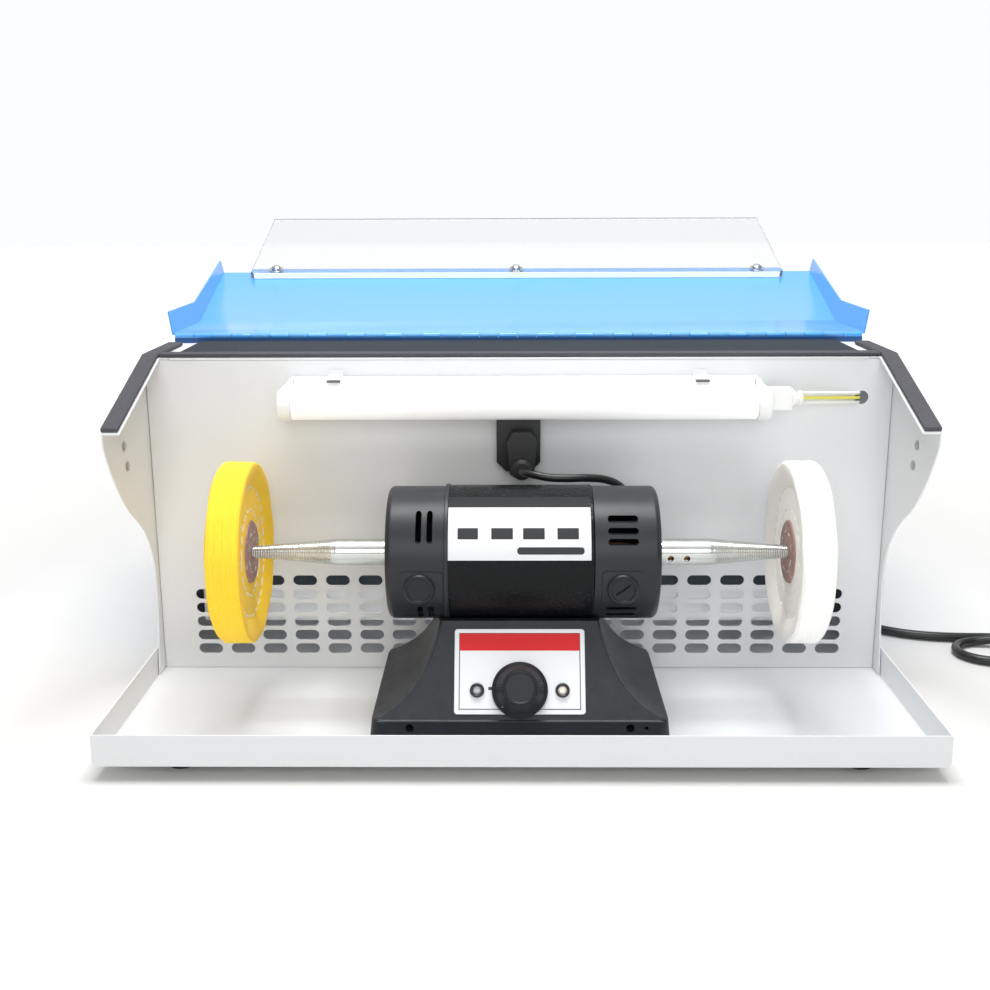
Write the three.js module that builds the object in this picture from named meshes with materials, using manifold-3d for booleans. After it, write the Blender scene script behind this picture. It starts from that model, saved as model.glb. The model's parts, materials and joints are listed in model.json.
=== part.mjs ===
// A double-ended bench buffer standing in its dust cabinet: a tray with curved side cheeks, a
// slotted back panel with a lamp and an outlet, a filter chamber with a fan behind it, a hinged
// lid with a clear visor, and the motor on its flared base with two tapered spindles and buffs.
// Units are millimetres, +X to the right, +Y to the back, +Z up.
import * as THREE from 'three';
import Module from 'manifold-3d';
import { mergeVertices, mergeGeometries } from 'three/addons/utils/BufferGeometryUtils.js';

const wasm = await Module();
wasm.setup();

// Driving dimensions

// Clearances
const seat = 0.3;                // where one piece rests on or beside another
const overrun = 1;               // how far a cut runs past the face that it opens

// Cabinet sheet metal
const cabinetWidth = 430;
const chamberDepth = 69.2;       // front of the back panel to the back of the rear wall
const sheet = 1;
const lipHeight = 17.2;
const trayCorner = 2.6;
const footHeight = 8;
const footRadius = 9;
const footInsetX = 40;
const footInsetY = 21;
const hoodHeight = 190.8;        // underside of the tray to the top of the foam strips
const hoodRun = 82;              // front to back reach of the sloping cheek edge
const hoodSlope = THREE.MathUtils.degToRad(18.6);
const cheekNose = 6.8;           // plain upright edge under the sloping flange
const cheekWaistRun = 38.8;      // back panel to where the ogee edge changes its bend
const cheekWaistZ = 105;
const cheekBellyRun = 5.8;       // back panel to the deepest point of the ogee edge
const cheekBellyZ = 57;
const cheekToeRun = 12.4;
const flangeWidth = 10;
const chamberFlangeWidth = 15;
const stripWidth = 9;
const stripThickness = 2;
const stripBackGap = 12;         // strip end to the rear wall
const panelTopFlange = 12;
const frontStripDepth = 10;

// Slots in the back panel
const slotWidth = 14.2;
const slotHeight = 6.3;
const slotPitchX = 19.44;
const slotPitchZ = 8.54;
const slotSideMargin = 20;       // least distance from a slot to the panel's side
const slotRows = 6;
const slotLowestZ = 13.3;        // above the underside of the tray

// Lamp on the back panel
const lampLeftInset = 81.5;      // cabinet side to the lamp's end
const lampRightInset = 75.5;
const lampBottom = 155.5;
const lampHeight = 22.5;
const lampBackDepth = 12.5;      // metal channel, against the panel
const lampFrontDepth = 13;       // bowed diffuser
const lampCapLength = 7;
const lampCapChamfer = 5;
const lampPlugLength = 12.5;
const lampPlugHeight = 12;
const lampNeckLength = 6;
const lampNeckHeight = 8.6;
const lampWireRadius = 0.85;
const wireHoleInset = 17.4;      // inside of the cheek to the hole
const wireHoleZ = 165.1;
const wireHoleRadius = 3.9;

// Outlet on the back panel, with the plug of the buffer in it
const outletWidth = 25;
const outletHeight = 33;
const outletBottom = 123.8;
const outletStand = 8;
const outletDepth = 14;          // behind the panel
const outletChamfer = 5.5;
const plugWidth = 17;
const plugHeight = 20;
const plugDepth = 10.5;
const plugCollarRadius = 6;
const plugCollarLength = 6;
const plugOffsetX = 1.9;
const plugCordZ = 128.2;
const bladeWidth = 1.6;
const bladeHeight = 6;
const bladeLength = 12;
const bladeSpacing = 10;
const lathePlugCordDiameter = 4.4;

// Hinge
const knuckleRadius = 1.9;
const knuckleBore = 1;
const pinRadius = 0.65;
const leafThickness = 1;
const leafDepth = 14;
const knuckleCount = 34;
const hingeMargin = 2;           // cabinet side to the end of the hinge

// Lid and visor
const lidLift = 1.5;             // hinge axis to the inner face of the lid
const lidFlap = 86.5;            // sloping part of the lid
const lidSideHeight = 13.6;
const lidSideTip = 9.4;
const lidSideLean = 0.14;        // sideways run of a side flange for each unit of its height
const visorInset = 21.5;         // cabinet side to the visor's side
const visorLength = 113.5;
const visorThickness = 4;
const visorOverlap = 12;
const visorCorner = 4;
const visorScrewInset = 18.5;
const screwHole = 2;

// Fan, shelf and filter behind the back panel
const fanSize = 119;
const fanDepth = 25;
const fanRim = 2.5;              // frame side to the air opening, where it is thinnest
const fanHub = 21;
const fanBlades = 7;
const fanTipGap = 1.2;
const fanHubDepth = 17;
const fanStrutWidth = 5;
const fanStrutDepth = 3;
const fanBossRadius = 19;
const fanShaftRadius = 1.5;
const shelfHeight = 25.7;
const shelfLip = 20.3;
const shelfSideGap = 21.7;       // inside of the cheek to the shelf's end
const shelfSetback = 14.2;       // back panel to the shelf's front lip
const filterTopGap = 0.4;        // top of the foam to the underside of the edge strips
const filterSideGap = 16;
const ventSlotWidth = 5;
const ventRings = 4;
const ventFirstRing = 24;
const ventRingPitch = 10;
const ventArcShare = 0.8;        // share of each quarter ring that is open

// Switch and cord gland on the rear wall
const switchInset = 107;         // cabinet side to the switch
const switchZ = 52;
const switchWidth = 21;
const switchHeight = 15;
const switchBezel = 2;
const switchDepth = 14;
const rockerTilt = THREE.MathUtils.degToRad(9);
const rockerProud = 2.4;
const glandInset = 65;           // cabinet side to the cord
const glandZ = 50;
const glandHole = 5.2;
const glandFlangeRadius = 8;
const glandFlange = 3;
const glandTail = 26;
const mainsDiameter = 5.8;

// Motor
const motorZ = 91.9;             // underside of the tray to the motor axis
const drumRadius = 37.3;
const drumWall = 2.4;
const drumLength = 76.4;
const leftCapLength = 33.5;
const rightCapLength = 37.3;
const capRadius = 36.9;
const capWall = 3;
const capRound = 4.5;
const capRing = 2.3;
const capSpigot = 5;
const capBrushZ = -9.5;          // brush caps sit this far from the axis height
const brushCapRadius = 8;
const brushCapThickness = 2.2;
const brushHolderRadius = 6.6;
const brushHolderDepth = 9;
const ventSlotRun = 17;
const ventSlotGauge = 3.2;
const rightVentShares = [0.52, 0.33, 0.15, -0.61, -0.74];   // heights of the slots on the cap radius
const leftVentColumnShares = [0.33, 0.5];
const leftVentSpanShares = [[0.12, 0.62], [-0.84, -0.6]];
const statorBore = 24;
const statorLength = 46;
const bearingRadius = 11;
const bearingWidth = 9;
const shaftRadius = 5;
const armatureRadius = 22.5;
const armatureLength = 42;
const commutatorRadius = 11.5;
const commutatorLength = 14;

// Spindles and buffs
const spindleRadius = 7;
const spindleSleeve = 26.8;
const spindleShoulder = 6.2;
const spindleTaper = 57;
const spindleTip = 2;
const spindleSocket = 21;
const setScrewRadius = 1.7;
const setScrewInsets = [7.5, 16.5];
const buffRadius = 50.8;
const buffThickness = 15;
const buffInner = 141.5;         // machine centre to the inner face of a buff
const buffEdge = 3;
const buffLeatherRadius = 16.8;
const buffLeather = 1.6;
const taperFit = 0.3;

// Base of the motor
const baseWidth = 155;
const baseDepth = 105;
const baseFrontGap = 17;         // front lip to the base
const baseRearGap = 8.8;         // base to the back panel
const baseDraft = 1.2;
const skirtTop = 17;             // above the underside of the tray
const skirtCorner = 6;
const latheFootHeight = 4;
const latheFootRadius = 7;
const latheFootInset = 14;
const baseTopWidth = 83;
const baseTopZ = 62;
const baseTopDepth = 52;
const baseShoulderInset = 2;     // skirt edge to the foot of the flared body
const baseNeckShares = [[0.46, 0.16], [0.17, 0.49]];   // control points of the concave side
const skirtHoleX = 56.5;
const skirtHoleRadius = 2.2;
const skirtHoleDrop = 4;
const plateWidth = 67.5;
const plateHeight = 44;
const plateCentreZ = 38.8;
const plateThickness = 0.8;
const plateCorner = 1.6;
const knobDrop = 9;              // plate centre down to the knob, along the plate
const knobBaseRadius = 14.4;
const knobTopRadius = 8.3;
const knobHeight = 15;
const knobRimHeight = 2.5;
const knobTopRound = 0.8;
const knobFlutes = 26;
const knobFluteDepth = 0.45;
const knobShaftRadius = 3;
const knobSocketDepth = 11;
const knobLift = 1;
const potRadius = 8.2;
const potDepth = 9;
const potBushRadius = 3.6;
const indicatorX = 22;
const indicatorRadius = 3.7;
const indicatorLens = 2.4;
const indicatorBezel = 1.6;
const indicatorBody = 2.5;
const indicatorDepth = 7;
const reliefX = 37;
const reliefFootZ = 40;
const reliefLength = 11.5;
const reliefTilt = THREE.MathUtils.degToRad(64.5);
const reliefRadius = 5;
const reliefTipRadius = 3.4;

// Mains lead: where it lies, its coil and its plug
const coilX = 385;
const coilY = 127;
const coilInner = 24.2;
const coilStep = 6.3;            // from one turn to the next, sideways and upwards
const coilTurns = 3;             // in each layer
const coilSidesPerTurn = 24;
const mainsPlugLength = 34;
const mainsPlugWidth = 24;
const mainsPlugHeight = 14;
const mainsPlugY = 64;
const pinLength = 18;
const pinDiameter = 4.2;
const pinSpacing = 14;

// Routes of the free cords, from the front left: x, y from the front lip, z above the table
const latheCordRoute = [
  [1.9, 105.4, 136.2], [2.1, 101.5, 136.4], [4.2, 96.6, 136.9], [9.6, 92.8, 136.6], [17, 91.2, 135.6],
  [26.4, 91.4, 135.2], [36.6, 93.5, 134.9], [46.2, 97.2, 133.4], [53.6, 101, 130.2], [59, 105.2, 125],
  [62.2, 109.4, 118.4], [63, 113, 110.4], [61.4, 115.8, 101.4], [57.4, 117.8, 92], [52, 118.9, 82.8],
  [46.4, 118.8, 74], [41.4, 117.2, 66], [38.2, 114.9, 60.4],
];
const mainsCordRoute = [
  [150, 226.6, 58], [150, 235.5, 57.8], [150.4, 246, 55.8], [153.4, 258, 49], [160.8, 267.6, 38.6],
  [171.6, 272.4, 27], [184, 271.4, 16.4], [196, 264.6, 8.6], [207.4, 253.6, 4.4], [218, 240, 3.2],
  [229, 226, 3.2], [241, 214.6, 3.2], [255, 206, 3.2], [271, 200.8, 3.2], [290, 198.6, 3.2],
  [308, 198, 3.2], [323, 195.4, 3.2], [334.4, 188, 3.2], [339.4, 177, 3.2], [337, 165.8, 3.2],
  [328, 158.6, 3.2], [315, 155.8, 3.2], [301, 155.6, 3.2], [289.6, 158.4, 3.2], [281.4, 166, 3.2],
  [279.4, 176, 3.2], [284, 185.6, 3.2], [293.4, 190, 3.4], [304.6, 189.4, 4.8], [316.4, 186, 7.6],
  [328, 181, 9.8], [339, 176, 10], [350, 172, 8.2], [360, 170.3, 5], [369, 170.1, 3.3],
  [378.9, 170.1, 3.2],
];

// Derived places

const halfWidth = cabinetWidth / 2;
const axisY = baseFrontGap + baseDepth / 2;               // front lip to the motor axis
const panelSetback = axisY + baseDepth / 2 + baseRearGap; // front lip to the front of the back panel
const cabinetDepth = panelSetback + chamberDepth;
const floorZ = footHeight + sheet;                       // top of the tray floor
const zOf = (z) => footHeight + z;                       // from the tray's underside to the table
const cheekOuter = halfWidth - sheet - seat;
const cheekInner = cheekOuter - sheet;
const panelHalf = cheekInner - seat;
const panelBack = panelSetback + sheet;
const slotColumns = Math.floor((2 * (panelHalf - slotSideMargin) + slotPitchX - slotWidth) / slotPitchX);
const lampLeft = lampLeftInset - halfWidth;
const lampRight = halfWidth - lampRightInset;
const wireHoleX = cheekInner - wireHoleInset;
const visorHalf = halfWidth - visorInset;
const visorScrewX = visorHalf - visorScrewInset;
const shelfHalf = cheekInner - shelfSideGap;
const switchX = halfWidth - switchInset;
const glandX = halfWidth - glandInset;
const flangeTop = zOf(hoodHeight) - stripThickness - seat;
const hoodDrop = hoodRun * Math.tan(hoodSlope);
const hoodFront = panelSetback - hoodRun;
const hingeY = cabinetDepth + 2 * seat + leafThickness;
const hingeZ = zOf(hoodHeight) + seat + lidLift;
const hingeHalf = halfWidth - hingeMargin;
const lidBendRun = hingeY - panelSetback;
const lidInnerZ = hingeZ + lidLift;
const lidRear = hingeY + knuckleRadius + seat;
const lidBendY = hingeY + lidBendRun;
const axisZ = zOf(motorZ);
const fanBore = fanSize / 2 - fanRim;                     // radius of the air opening
const fanCentreZ = zOf(shelfHeight) + sheet + seat + fanSize / 2;
const wallFront = cabinetDepth - sheet;
const fanBack = wallFront - seat;

// Helpers

const shapeOf = (points) => new THREE.Shape(points.map(([a, b]) => new THREE.Vector2(a, b)));

function extruded(shape, depth, segments = 12) {
  return new THREE.ExtrudeGeometry(shape, { depth, bevelEnabled: false, curveSegments: segments });
}

// An outline in X and Y, raised from z0 to z1
function raised(shape, z0, z1, segments) {
  return extruded(shape, z1 - z0, segments).translate(0, 0, z0);
}

// An outline in X and Z, run from y0 back to y1
function runBack(shape, y0, y1, segments) {
  return extruded(shape, y1 - y0, segments).rotateX(Math.PI / 2).translate(0, y1, 0);
}

// An outline in Y and Z, run from x0 to x1
function runAcross(shape, x0, x1, segments) {
  return extruded(shape, x1 - x0, segments).rotateX(Math.PI / 2).rotateZ(Math.PI / 2).translate(x0, 0, 0);
}

function block(x0, x1, y0, y1, z0, z1) {
  return new THREE.BoxGeometry(x1 - x0, y1 - y0, z1 - z0)
    .translate((x0 + x1) / 2, (y0 + y1) / 2, (z0 + z1) / 2);
}

// A profile of [along, radius] pairs turned about the X, Y or Z axis
function turned(profile, sides) {
  return new THREE.LatheGeometry(profile.map(([a, r]) => new THREE.Vector2(r, a)), sides);
}
const turnedX = (profile, sides) => turned(profile, sides).rotateZ(-Math.PI / 2);
const turnedY = (profile, sides) => turned(profile, sides);
const turnedZ = (profile, sides) => turned(profile, sides).rotateX(Math.PI / 2);

function rodX(x0, x1, radius, sides) {
  return turnedX([[x0, 0], [x0, radius], [x1, radius], [x1, 0]], sides);
}
function rodY(y0, y1, radius, sides) {
  return turnedY([[y0, 0], [y0, radius], [y1, radius], [y1, 0]], sides);
}
function rodZ(z0, z1, radius, sides) {
  return turnedZ([[z0, 0], [z0, radius], [z1, radius], [z1, 0]], sides);
}

// The closed solid of a geometry, with its faces turned outwards
function solid(geometry) {
  const bare = geometry.clone();
  bare.deleteAttribute('normal');
  bare.deleteAttribute('uv');
  const merged = mergeVertices(bare, seat / 1000);
  const position = merged.attributes.position;
  const corners = [];
  for (let i = 0; i < merged.index.count; i += 3) {
    const [a, b, c] = [0, 1, 2].map((k) => merged.index.getX(i + k));
    if (a !== b && b !== c && c !== a) corners.push([a, b, c]);
  }
  const at = (i) => new THREE.Vector3().fromBufferAttribute(position, i);
  const volume = corners.reduce((sum, [a, b, c]) => sum + at(a).dot(at(b).cross(at(c))), 0);
  const facing = volume < 0 ? corners.map(([a, b, c]) => [a, c, b]) : corners;
  return new wasm.Manifold(new wasm.Mesh({
    numProp: 3,
    vertProperties: new Float32Array(position.array),
    triVerts: new Uint32Array(facing.flat()),
  }));
}

const asSolid = (piece) => (piece.isBufferGeometry ? solid(piece) : piece);
const join = (...pieces) => pieces.map(asSolid).reduce((a, b) => a.add(b));
const cut = (piece, ...tools) => tools.map(asSolid).reduce((a, b) => a.subtract(b), asSolid(piece));
const common = (a, b) => asSolid(a).intersect(asSolid(b));

const nodes = new THREE.Group();

function finish(color, roughness, metalness = 0, extra = {}) {
  return new THREE.MeshStandardMaterial({ color, roughness, metalness, ...extra });
}

function add(name, piece, material, parent = nodes) {
  const result = asSolid(piece).getMesh();
  const geometry = new THREE.BufferGeometry();
  geometry.setAttribute('position', new THREE.BufferAttribute(result.vertProperties, 3));
  geometry.setIndex(new THREE.BufferAttribute(result.triVerts, 1));
  geometry.computeVertexNormals();
  const mesh = new THREE.Mesh(geometry, material);
  mesh.name = name;
  parent.add(mesh);
  return mesh;
}

// Mirrored about the plane X = 0
function mirrored(piece) {
  return asSolid(piece).mirror([1, 0, 0]);
}

const paint = {
  white: finish('#e6e8ea', 0.45),
  lidBlue: finish('#3fa0f5', 0.4),
  black: finish('#2e3134', 0.55),
  crinkle: finish('#1f2224', 0.3),
  rubber: finish('#18191a', 0.85),
  foam: finish('#3c3c3e', 0.95),
  zinc: finish('#c6c9c6', 0.3, 1),
  steel: finish('#8d9092', 0.4, 1),
  copper: finish('#b5703a', 0.4, 1),
  opal: finish('#ffffff', 0.35),
  clear: finish('#f2f8fa', 0.05, 0, { transparent: true, opacity: 0.25 }),
  cotton: finish('#f1eee6', 0.95),
  yellow: finish('#ffcf2e', 0.95),
  plate: finish('#f4f6f8', 0.4),
};

// Sheet-metal cabinet

function tray() {
  const x = halfWidth;
  const r = trayCorner;
  const z0 = footHeight;
  const z1 = zOf(lipHeight);
  const outer = new THREE.Shape();
  outer.moveTo(x, z1);
  outer.lineTo(-x, z1);
  outer.lineTo(-x, z0 + r);
  outer.absarc(-x + r, z0 + r, r, Math.PI, Math.PI * 1.5, false);
  outer.lineTo(x - r, z0);
  outer.absarc(x - r, z0 + r, r, Math.PI * 1.5, Math.PI * 2, false);
  outer.lineTo(x, z1);
  const whole = runBack(outer, 0, cabinetDepth, 3);
  const inside = block(-x + sheet, x - sheet, sheet, cabinetDepth + overrun, floorZ, z1 + overrun);
  return cut(whole, inside);
}

function foot(x, y) {
  const bevel = footRadius / 6;
  const top = footHeight - seat;
  return turnedZ([
    [0, 0], [0, footRadius - bevel], [bevel, footRadius], [top, footRadius], [top, 0],
  ], 14).translate(x, y, 0);
}

// The outline of a cheek in Y and Z, with its ogee front edge
function cheekOutline() {
  const bottom = floorZ + seat;
  const noseZ = flangeTop - hoodDrop - cheekNose;
  const waist = [panelSetback - cheekWaistRun, zOf(cheekWaistZ)];
  const belly = [panelSetback - cheekBellyRun, zOf(cheekBellyZ)];
  const toe = panelSetback - cheekToeRun;
  const rise = noseZ - waist[1];
  const fall = waist[1] - belly[1];
  const run = waist[0] - hoodFront;
  const reach = belly[0] - waist[0];
  const shape = new THREE.Shape();
  shape.moveTo(cabinetDepth, bottom);
  shape.lineTo(cabinetDepth, flangeTop);
  shape.lineTo(panelSetback, flangeTop);
  shape.lineTo(hoodFront, flangeTop - hoodDrop);
  shape.lineTo(hoodFront, noseZ);
  shape.bezierCurveTo(
    hoodFront + run * 0.22, noseZ - rise * 0.4,
    waist[0] - run * 0.35, waist[1] + rise * 0.19,
    waist[0], waist[1],
  );
  shape.bezierCurveTo(
    waist[0] + reach * 0.46, waist[1] - fall * 0.2,
    belly[0], belly[1] + fall * 0.52,
    belly[0], belly[1],
  );
  shape.bezierCurveTo(
    belly[0], belly[1] - (belly[1] - bottom) * 0.3,
    toe + (belly[0] - toe) * 0.3, bottom + (belly[1] - bottom) * 0.3,
    toe, bottom,
  );
  return shape;
}

// A right-hand cheek: a sheet wall with a flange folded inwards along its top edges
function cheek() {
  const wall = runAcross(cheekOutline(), cheekInner, cheekOuter, 5);
  const thick = sheet / Math.cos(hoodSlope);
  const slope = shapeOf([
    [hoodFront, flangeTop - hoodDrop], [panelSetback, flangeTop], [panelSetback, flangeTop - sheet],
    [panelSetback - sheet * Math.tan(hoodSlope), flangeTop - sheet],
    [hoodFront, flangeTop - hoodDrop - thick],
  ]);
  const slopeFlange = runAcross(slope, cheekOuter - flangeWidth, cheekOuter);
  const chamberFlange = block(
    cheekOuter - chamberFlangeWidth, cheekOuter, panelSetback, wallFront - seat, flangeTop - sheet, flangeTop,
  );
  return join(wall, slopeFlange, chamberFlange);
}

// The foam strip on a right-hand cheek, bent over its corner
function edgeStrip() {
  const base = flangeTop + seat;
  const thick = stripThickness / Math.cos(hoodSlope);
  const shift = stripThickness * Math.tan(hoodSlope / 2);
  const end = hoodFront + seat;
  const drop = (panelSetback - end) * Math.tan(hoodSlope);
  const side = shapeOf([
    [end, base - drop], [end, base - drop + thick], [panelSetback - shift, base + stripThickness],
    [wallFront - stripBackGap, base + stripThickness], [wallFront - stripBackGap, base],
    [panelSetback, base],
  ]);
  return runAcross(side, cheekOuter - stripWidth, cheekOuter);
}

function topEdgeStrip() {
  const x = cheekOuter - stripWidth - seat;
  return block(-x, x, panelSetback, panelSetback + frontStripDepth, flangeTop + seat,
    flangeTop + seat + stripThickness);
}

// A round-ended slot with four corners at each end, as an outline hole
function slotHole(x, z) {
  const r = slotHeight / 2;
  const run = slotWidth / 2 - r;
  const corners = [...Array(8).keys()].map((k) => {
    const angle = (k + 0.5) * Math.PI / 4;
    const reach = r * Math.cos(angle);
    return new THREE.Vector2(x + reach + run * Math.sign(reach), z + r * Math.sin(angle));
  });
  return new THREE.Path(corners);
}

function grillePanel() {
  const top = flangeTop - sheet - seat;
  const bottom = floorZ + seat;
  const face = shapeOf([
    [-panelHalf, bottom], [panelHalf, bottom], [panelHalf, top], [-panelHalf, top],
  ]);
  const middle = (slotColumns - 1) / 2;
  for (let row = 0; row < slotRows; row += 1) {
    const short = row === slotRows - 1 ? 1 : 0;
    for (let column = short; column < slotColumns - short; column += 1) {
      face.holes.push(slotHole((column - middle) * slotPitchX, zOf(slotLowestZ) + row * slotPitchZ));
    }
  }
  const plate = runBack(face, panelSetback, panelBack);
  const half = cheekOuter - chamberFlangeWidth - seat;
  const neck = block(-half, half, panelSetback, panelBack, top - sheet, flangeTop);
  const flangeBack = panelSetback + panelTopFlange;
  const flange = block(-half, half, panelSetback, flangeBack, flangeTop - sheet, flangeTop);
  const wireHole = rodY(panelSetback - overrun, panelBack + overrun, wireHoleRadius, 14)
    .translate(wireHoleX, 0, zOf(wireHoleZ));
  return cut(join(plate, neck, flange), wireHole, outletCutOut());
}

function outletOutline(grow) {
  const x = outletWidth / 2 + grow;
  const z0 = zOf(outletBottom) - grow;
  const z1 = zOf(outletBottom) + outletHeight + grow;
  const c = outletChamfer;
  return shapeOf([[-x + c, z0], [x - c, z0], [x, z0 + c], [x, z1], [-x, z1], [-x, z0 + c]]);
}

function outletCutOut() {
  return runBack(outletOutline(-sheet + seat), panelSetback - overrun, panelBack + overrun);
}

function outletSocket() {
  const front = panelSetback - outletStand;
  const rim = runBack(outletOutline(0), front, panelSetback - seat);
  const body = runBack(outletOutline(-sheet), panelSetback - sheet, panelBack + outletDepth);
  const slots = [-1, 1].map((side) => blade(side, seat, front - overrun));
  return cut(join(rim, body), ...slots);
}

// One contact blade of the plug, or with room around it the hole that takes it
function blade(side, room, y0) {
  const x = plugOffsetX + side * bladeSpacing / 2;
  const w = bladeWidth / 2 + room;
  const h = bladeHeight / 2 + room;
  const z = zOf(outletBottom) + outletHeight / 2;
  const y1 = panelSetback - outletStand + bladeLength + room;
  return block(x - w, x + w, y0, y1, z - h, z + h);
}

function lathePlug() {
  const back = panelSetback - outletStand - seat;
  const front = back - plugDepth;
  const x = plugWidth / 2;
  const z0 = zOf(outletBottom) - sheet;
  const outline = shapeOf([
    [-x, z0 + plugHeight], [-x * 0.8, z0 + plugHeight * 0.1], [-x * 0.5, z0], [x * 0.5, z0],
    [x * 0.8, z0 + plugHeight * 0.1], [x, z0 + plugHeight], [x * 0.6, z0 + plugHeight * 1.3],
    [-x * 0.6, z0 + plugHeight * 1.3],
  ]);
  const body = runBack(outline, front, back).translate(plugOffsetX, 0, 0);
  const collar = turnedY([
    [front - plugCollarLength, 0], [front - plugCollarLength, plugCollarRadius * 0.7],
    [front - plugCollarLength * 0.7, plugCollarRadius], [front + sheet, plugCollarRadius], [front + sheet, 0],
  ], 16).translate(plugOffsetX, 0, zOf(plugCordZ));
  const blades = [-1, 1].map((side) => blade(side, 0, back - sheet));
  return join(body, collar, ...blades);
}

// Rear wall, fan and filter

// An arc-shaped slot in the rear wall, as an outline hole about the fan's centre
function arcSlot(radius, quarter) {
  const open = Math.PI / 2 * ventArcShare;
  const from = quarter * Math.PI / 2 + (Math.PI / 2 - open) / 2 + Math.PI / 4;
  const hole = new THREE.Path();
  hole.absarc(0, fanCentreZ, radius - ventSlotWidth / 2, from, from + open, false);
  hole.absarc(0, fanCentreZ, radius + ventSlotWidth / 2, from + open, from, true);
  hole.closePath();
  return hole;
}

function rearWall() {
  const wall = shapeOf([
    [-panelHalf, floorZ + seat], [panelHalf, floorZ + seat], [panelHalf, flangeTop], [-panelHalf, flangeTop],
  ]);
  for (let ring = 0; ring < ventRings; ring += 1) {
    for (let quarter = 0; quarter < 4; quarter += 1) {
      wall.holes.push(arcSlot(ventFirstRing + ring * ventRingPitch, quarter));
    }
  }
  const plate = runBack(wall, wallFront, cabinetDepth, 2);
  const gland = rodY(wallFront - overrun, cabinetDepth + overrun, glandHole + seat, 14)
    .translate(glandX, 0, zOf(glandZ));
  const x = switchWidth / 2 - switchBezel + seat;
  const z = switchHeight / 2 - switchBezel + seat;
  const opening = block(switchX - x, switchX + x, wallFront - overrun, cabinetDepth + overrun,
    zOf(switchZ) - z, zOf(switchZ) + z);
  return cut(plate, gland, opening);
}

function fanShelf() {
  const y = panelBack + shelfSetback;
  const z = zOf(shelfHeight);
  const side = shapeOf([
    [y, z], [wallFront - seat, z], [wallFront - seat, z + sheet], [y + sheet, z + sheet],
    [y + sheet, z + shelfLip], [y, z + shelfLip],
  ]);
  return runAcross(side, -shelfHalf, shelfHalf);
}

function fanFrame() {
  const s = fanSize / 2;
  const y0 = fanBack - fanDepth;
  const body = block(-s, s, y0, fanBack, fanCentreZ - s, fanCentreZ + s);
  const bore = rodY(y0 - overrun, fanBack + overrun, fanBore, 32).translate(0, 0, fanCentreZ);
  const boss = rodY(fanBack - fanStrutDepth, fanBack, fanBossRadius, 20).translate(0, 0, fanCentreZ);
  const struts = [0, 1, 2, 3].map((k) => block(
    0, fanBore + fanStrutWidth / 2, fanBack - fanStrutDepth, fanBack, -fanStrutWidth / 2, fanStrutWidth / 2,
  ).rotateY(Math.PI / 4 + k * Math.PI / 2).translate(0, 0, fanCentreZ));
  const holes = [[-1, -1], [-1, 1], [1, -1], [1, 1]].map(([a, b]) => {
    const inset = s - footRadius;
    return rodY(y0 - overrun, fanBack + overrun, screwHole, 8)
      .translate(a * inset, 0, fanCentreZ + b * inset);
  });
  const shaft = rodY(fanBack - fanStrutDepth - fanHubDepth / 2, fanBack - fanStrutDepth + overrun / 2,
    fanShaftRadius, 10).translate(0, 0, fanCentreZ);
  return join(cut(body, bore, ...holes), boss, shaft, ...struts);
}

// One fan blade: a flat sheet twisted from the hub to the tip, as stations along its radius
function fanBlade(turn) {
  const stations = 4;
  const tip = fanBore - fanTipGap;
  const thick = sheet * 1.2;
  const rows = [];
  for (let i = 0; i < stations; i += 1) {
    const share = i / (stations - 1);
    const radius = (fanHub - sheet) + (tip - fanHub + sheet) * share;
    const pitch = THREE.MathUtils.degToRad(52 - 20 * share);
    const chord = fanHub * (0.78 + 0.55 * share);
    const along = new THREE.Vector2(Math.cos(pitch), Math.sin(pitch)).multiplyScalar(chord / 2);
    const across = new THREE.Vector2(-Math.sin(pitch), Math.cos(pitch)).multiplyScalar(thick / 2);
    const ring = [[1, 1], [-1, 1], [-1, -1], [1, -1]].map(([a, b]) => [
      a * along.x + b * across.x, a * along.y + b * across.y,
    ]);
    rows.push(ring.map(([x, y]) => {
      const spread = x / radius;
      return [radius * Math.sin(turn + spread), y, radius * Math.cos(turn + spread)];
    }));
  }
  return lofted(rows);
}

// A closed solid through rings of equal numbers of points
function lofted(rings) {
  const count = rings[0].length;
  const vertices = rings.flat(2);
  const index = [];
  for (let i = 0; i + 1 < rings.length; i += 1) {
    for (let j = 0; j < count; j += 1) {
      const a = i * count + j;
      const b = i * count + (j + 1) % count;
      index.push(a, b, b + count, a, b + count, a + count);
    }
  }
  const last = (rings.length - 1) * count;
  for (let j = 1; j + 1 < count; j += 1) {
    index.push(0, j + 1, j, last, last + j, last + j + 1);
  }
  const geometry = new THREE.BufferGeometry();
  geometry.setAttribute('position', new THREE.Float32BufferAttribute(vertices, 3));
  geometry.setIndex(index);
  return geometry;
}

function fanRotor() {
  const back = fanBack - fanStrutDepth - seat;
  const front = back - fanHubDepth;
  const hub = turnedY([
    [front, 0], [front, fanHub - sheet], [front + sheet, fanHub], [back, fanHub], [back, fanHub - sheet],
    [front + sheet * 2, fanHub - sheet * 2], [front + sheet * 2, fanShaftRadius * 2.4],
    [back - sheet, fanShaftRadius * 2.4], [back - sheet, fanShaftRadius + seat],
    [front + fanHubDepth / 3, fanShaftRadius + seat], [front + fanHubDepth / 3, 0],
  ], 24);
  const middle = (front + back) / 2;
  const blades = [...Array(fanBlades).keys()].map((k) => (
    fanBlade(k * Math.PI * 2 / fanBlades).translate(0, middle, 0)
  ));
  return join(hub, ...blades).translate([0, 0, fanCentreZ]);
}

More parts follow.
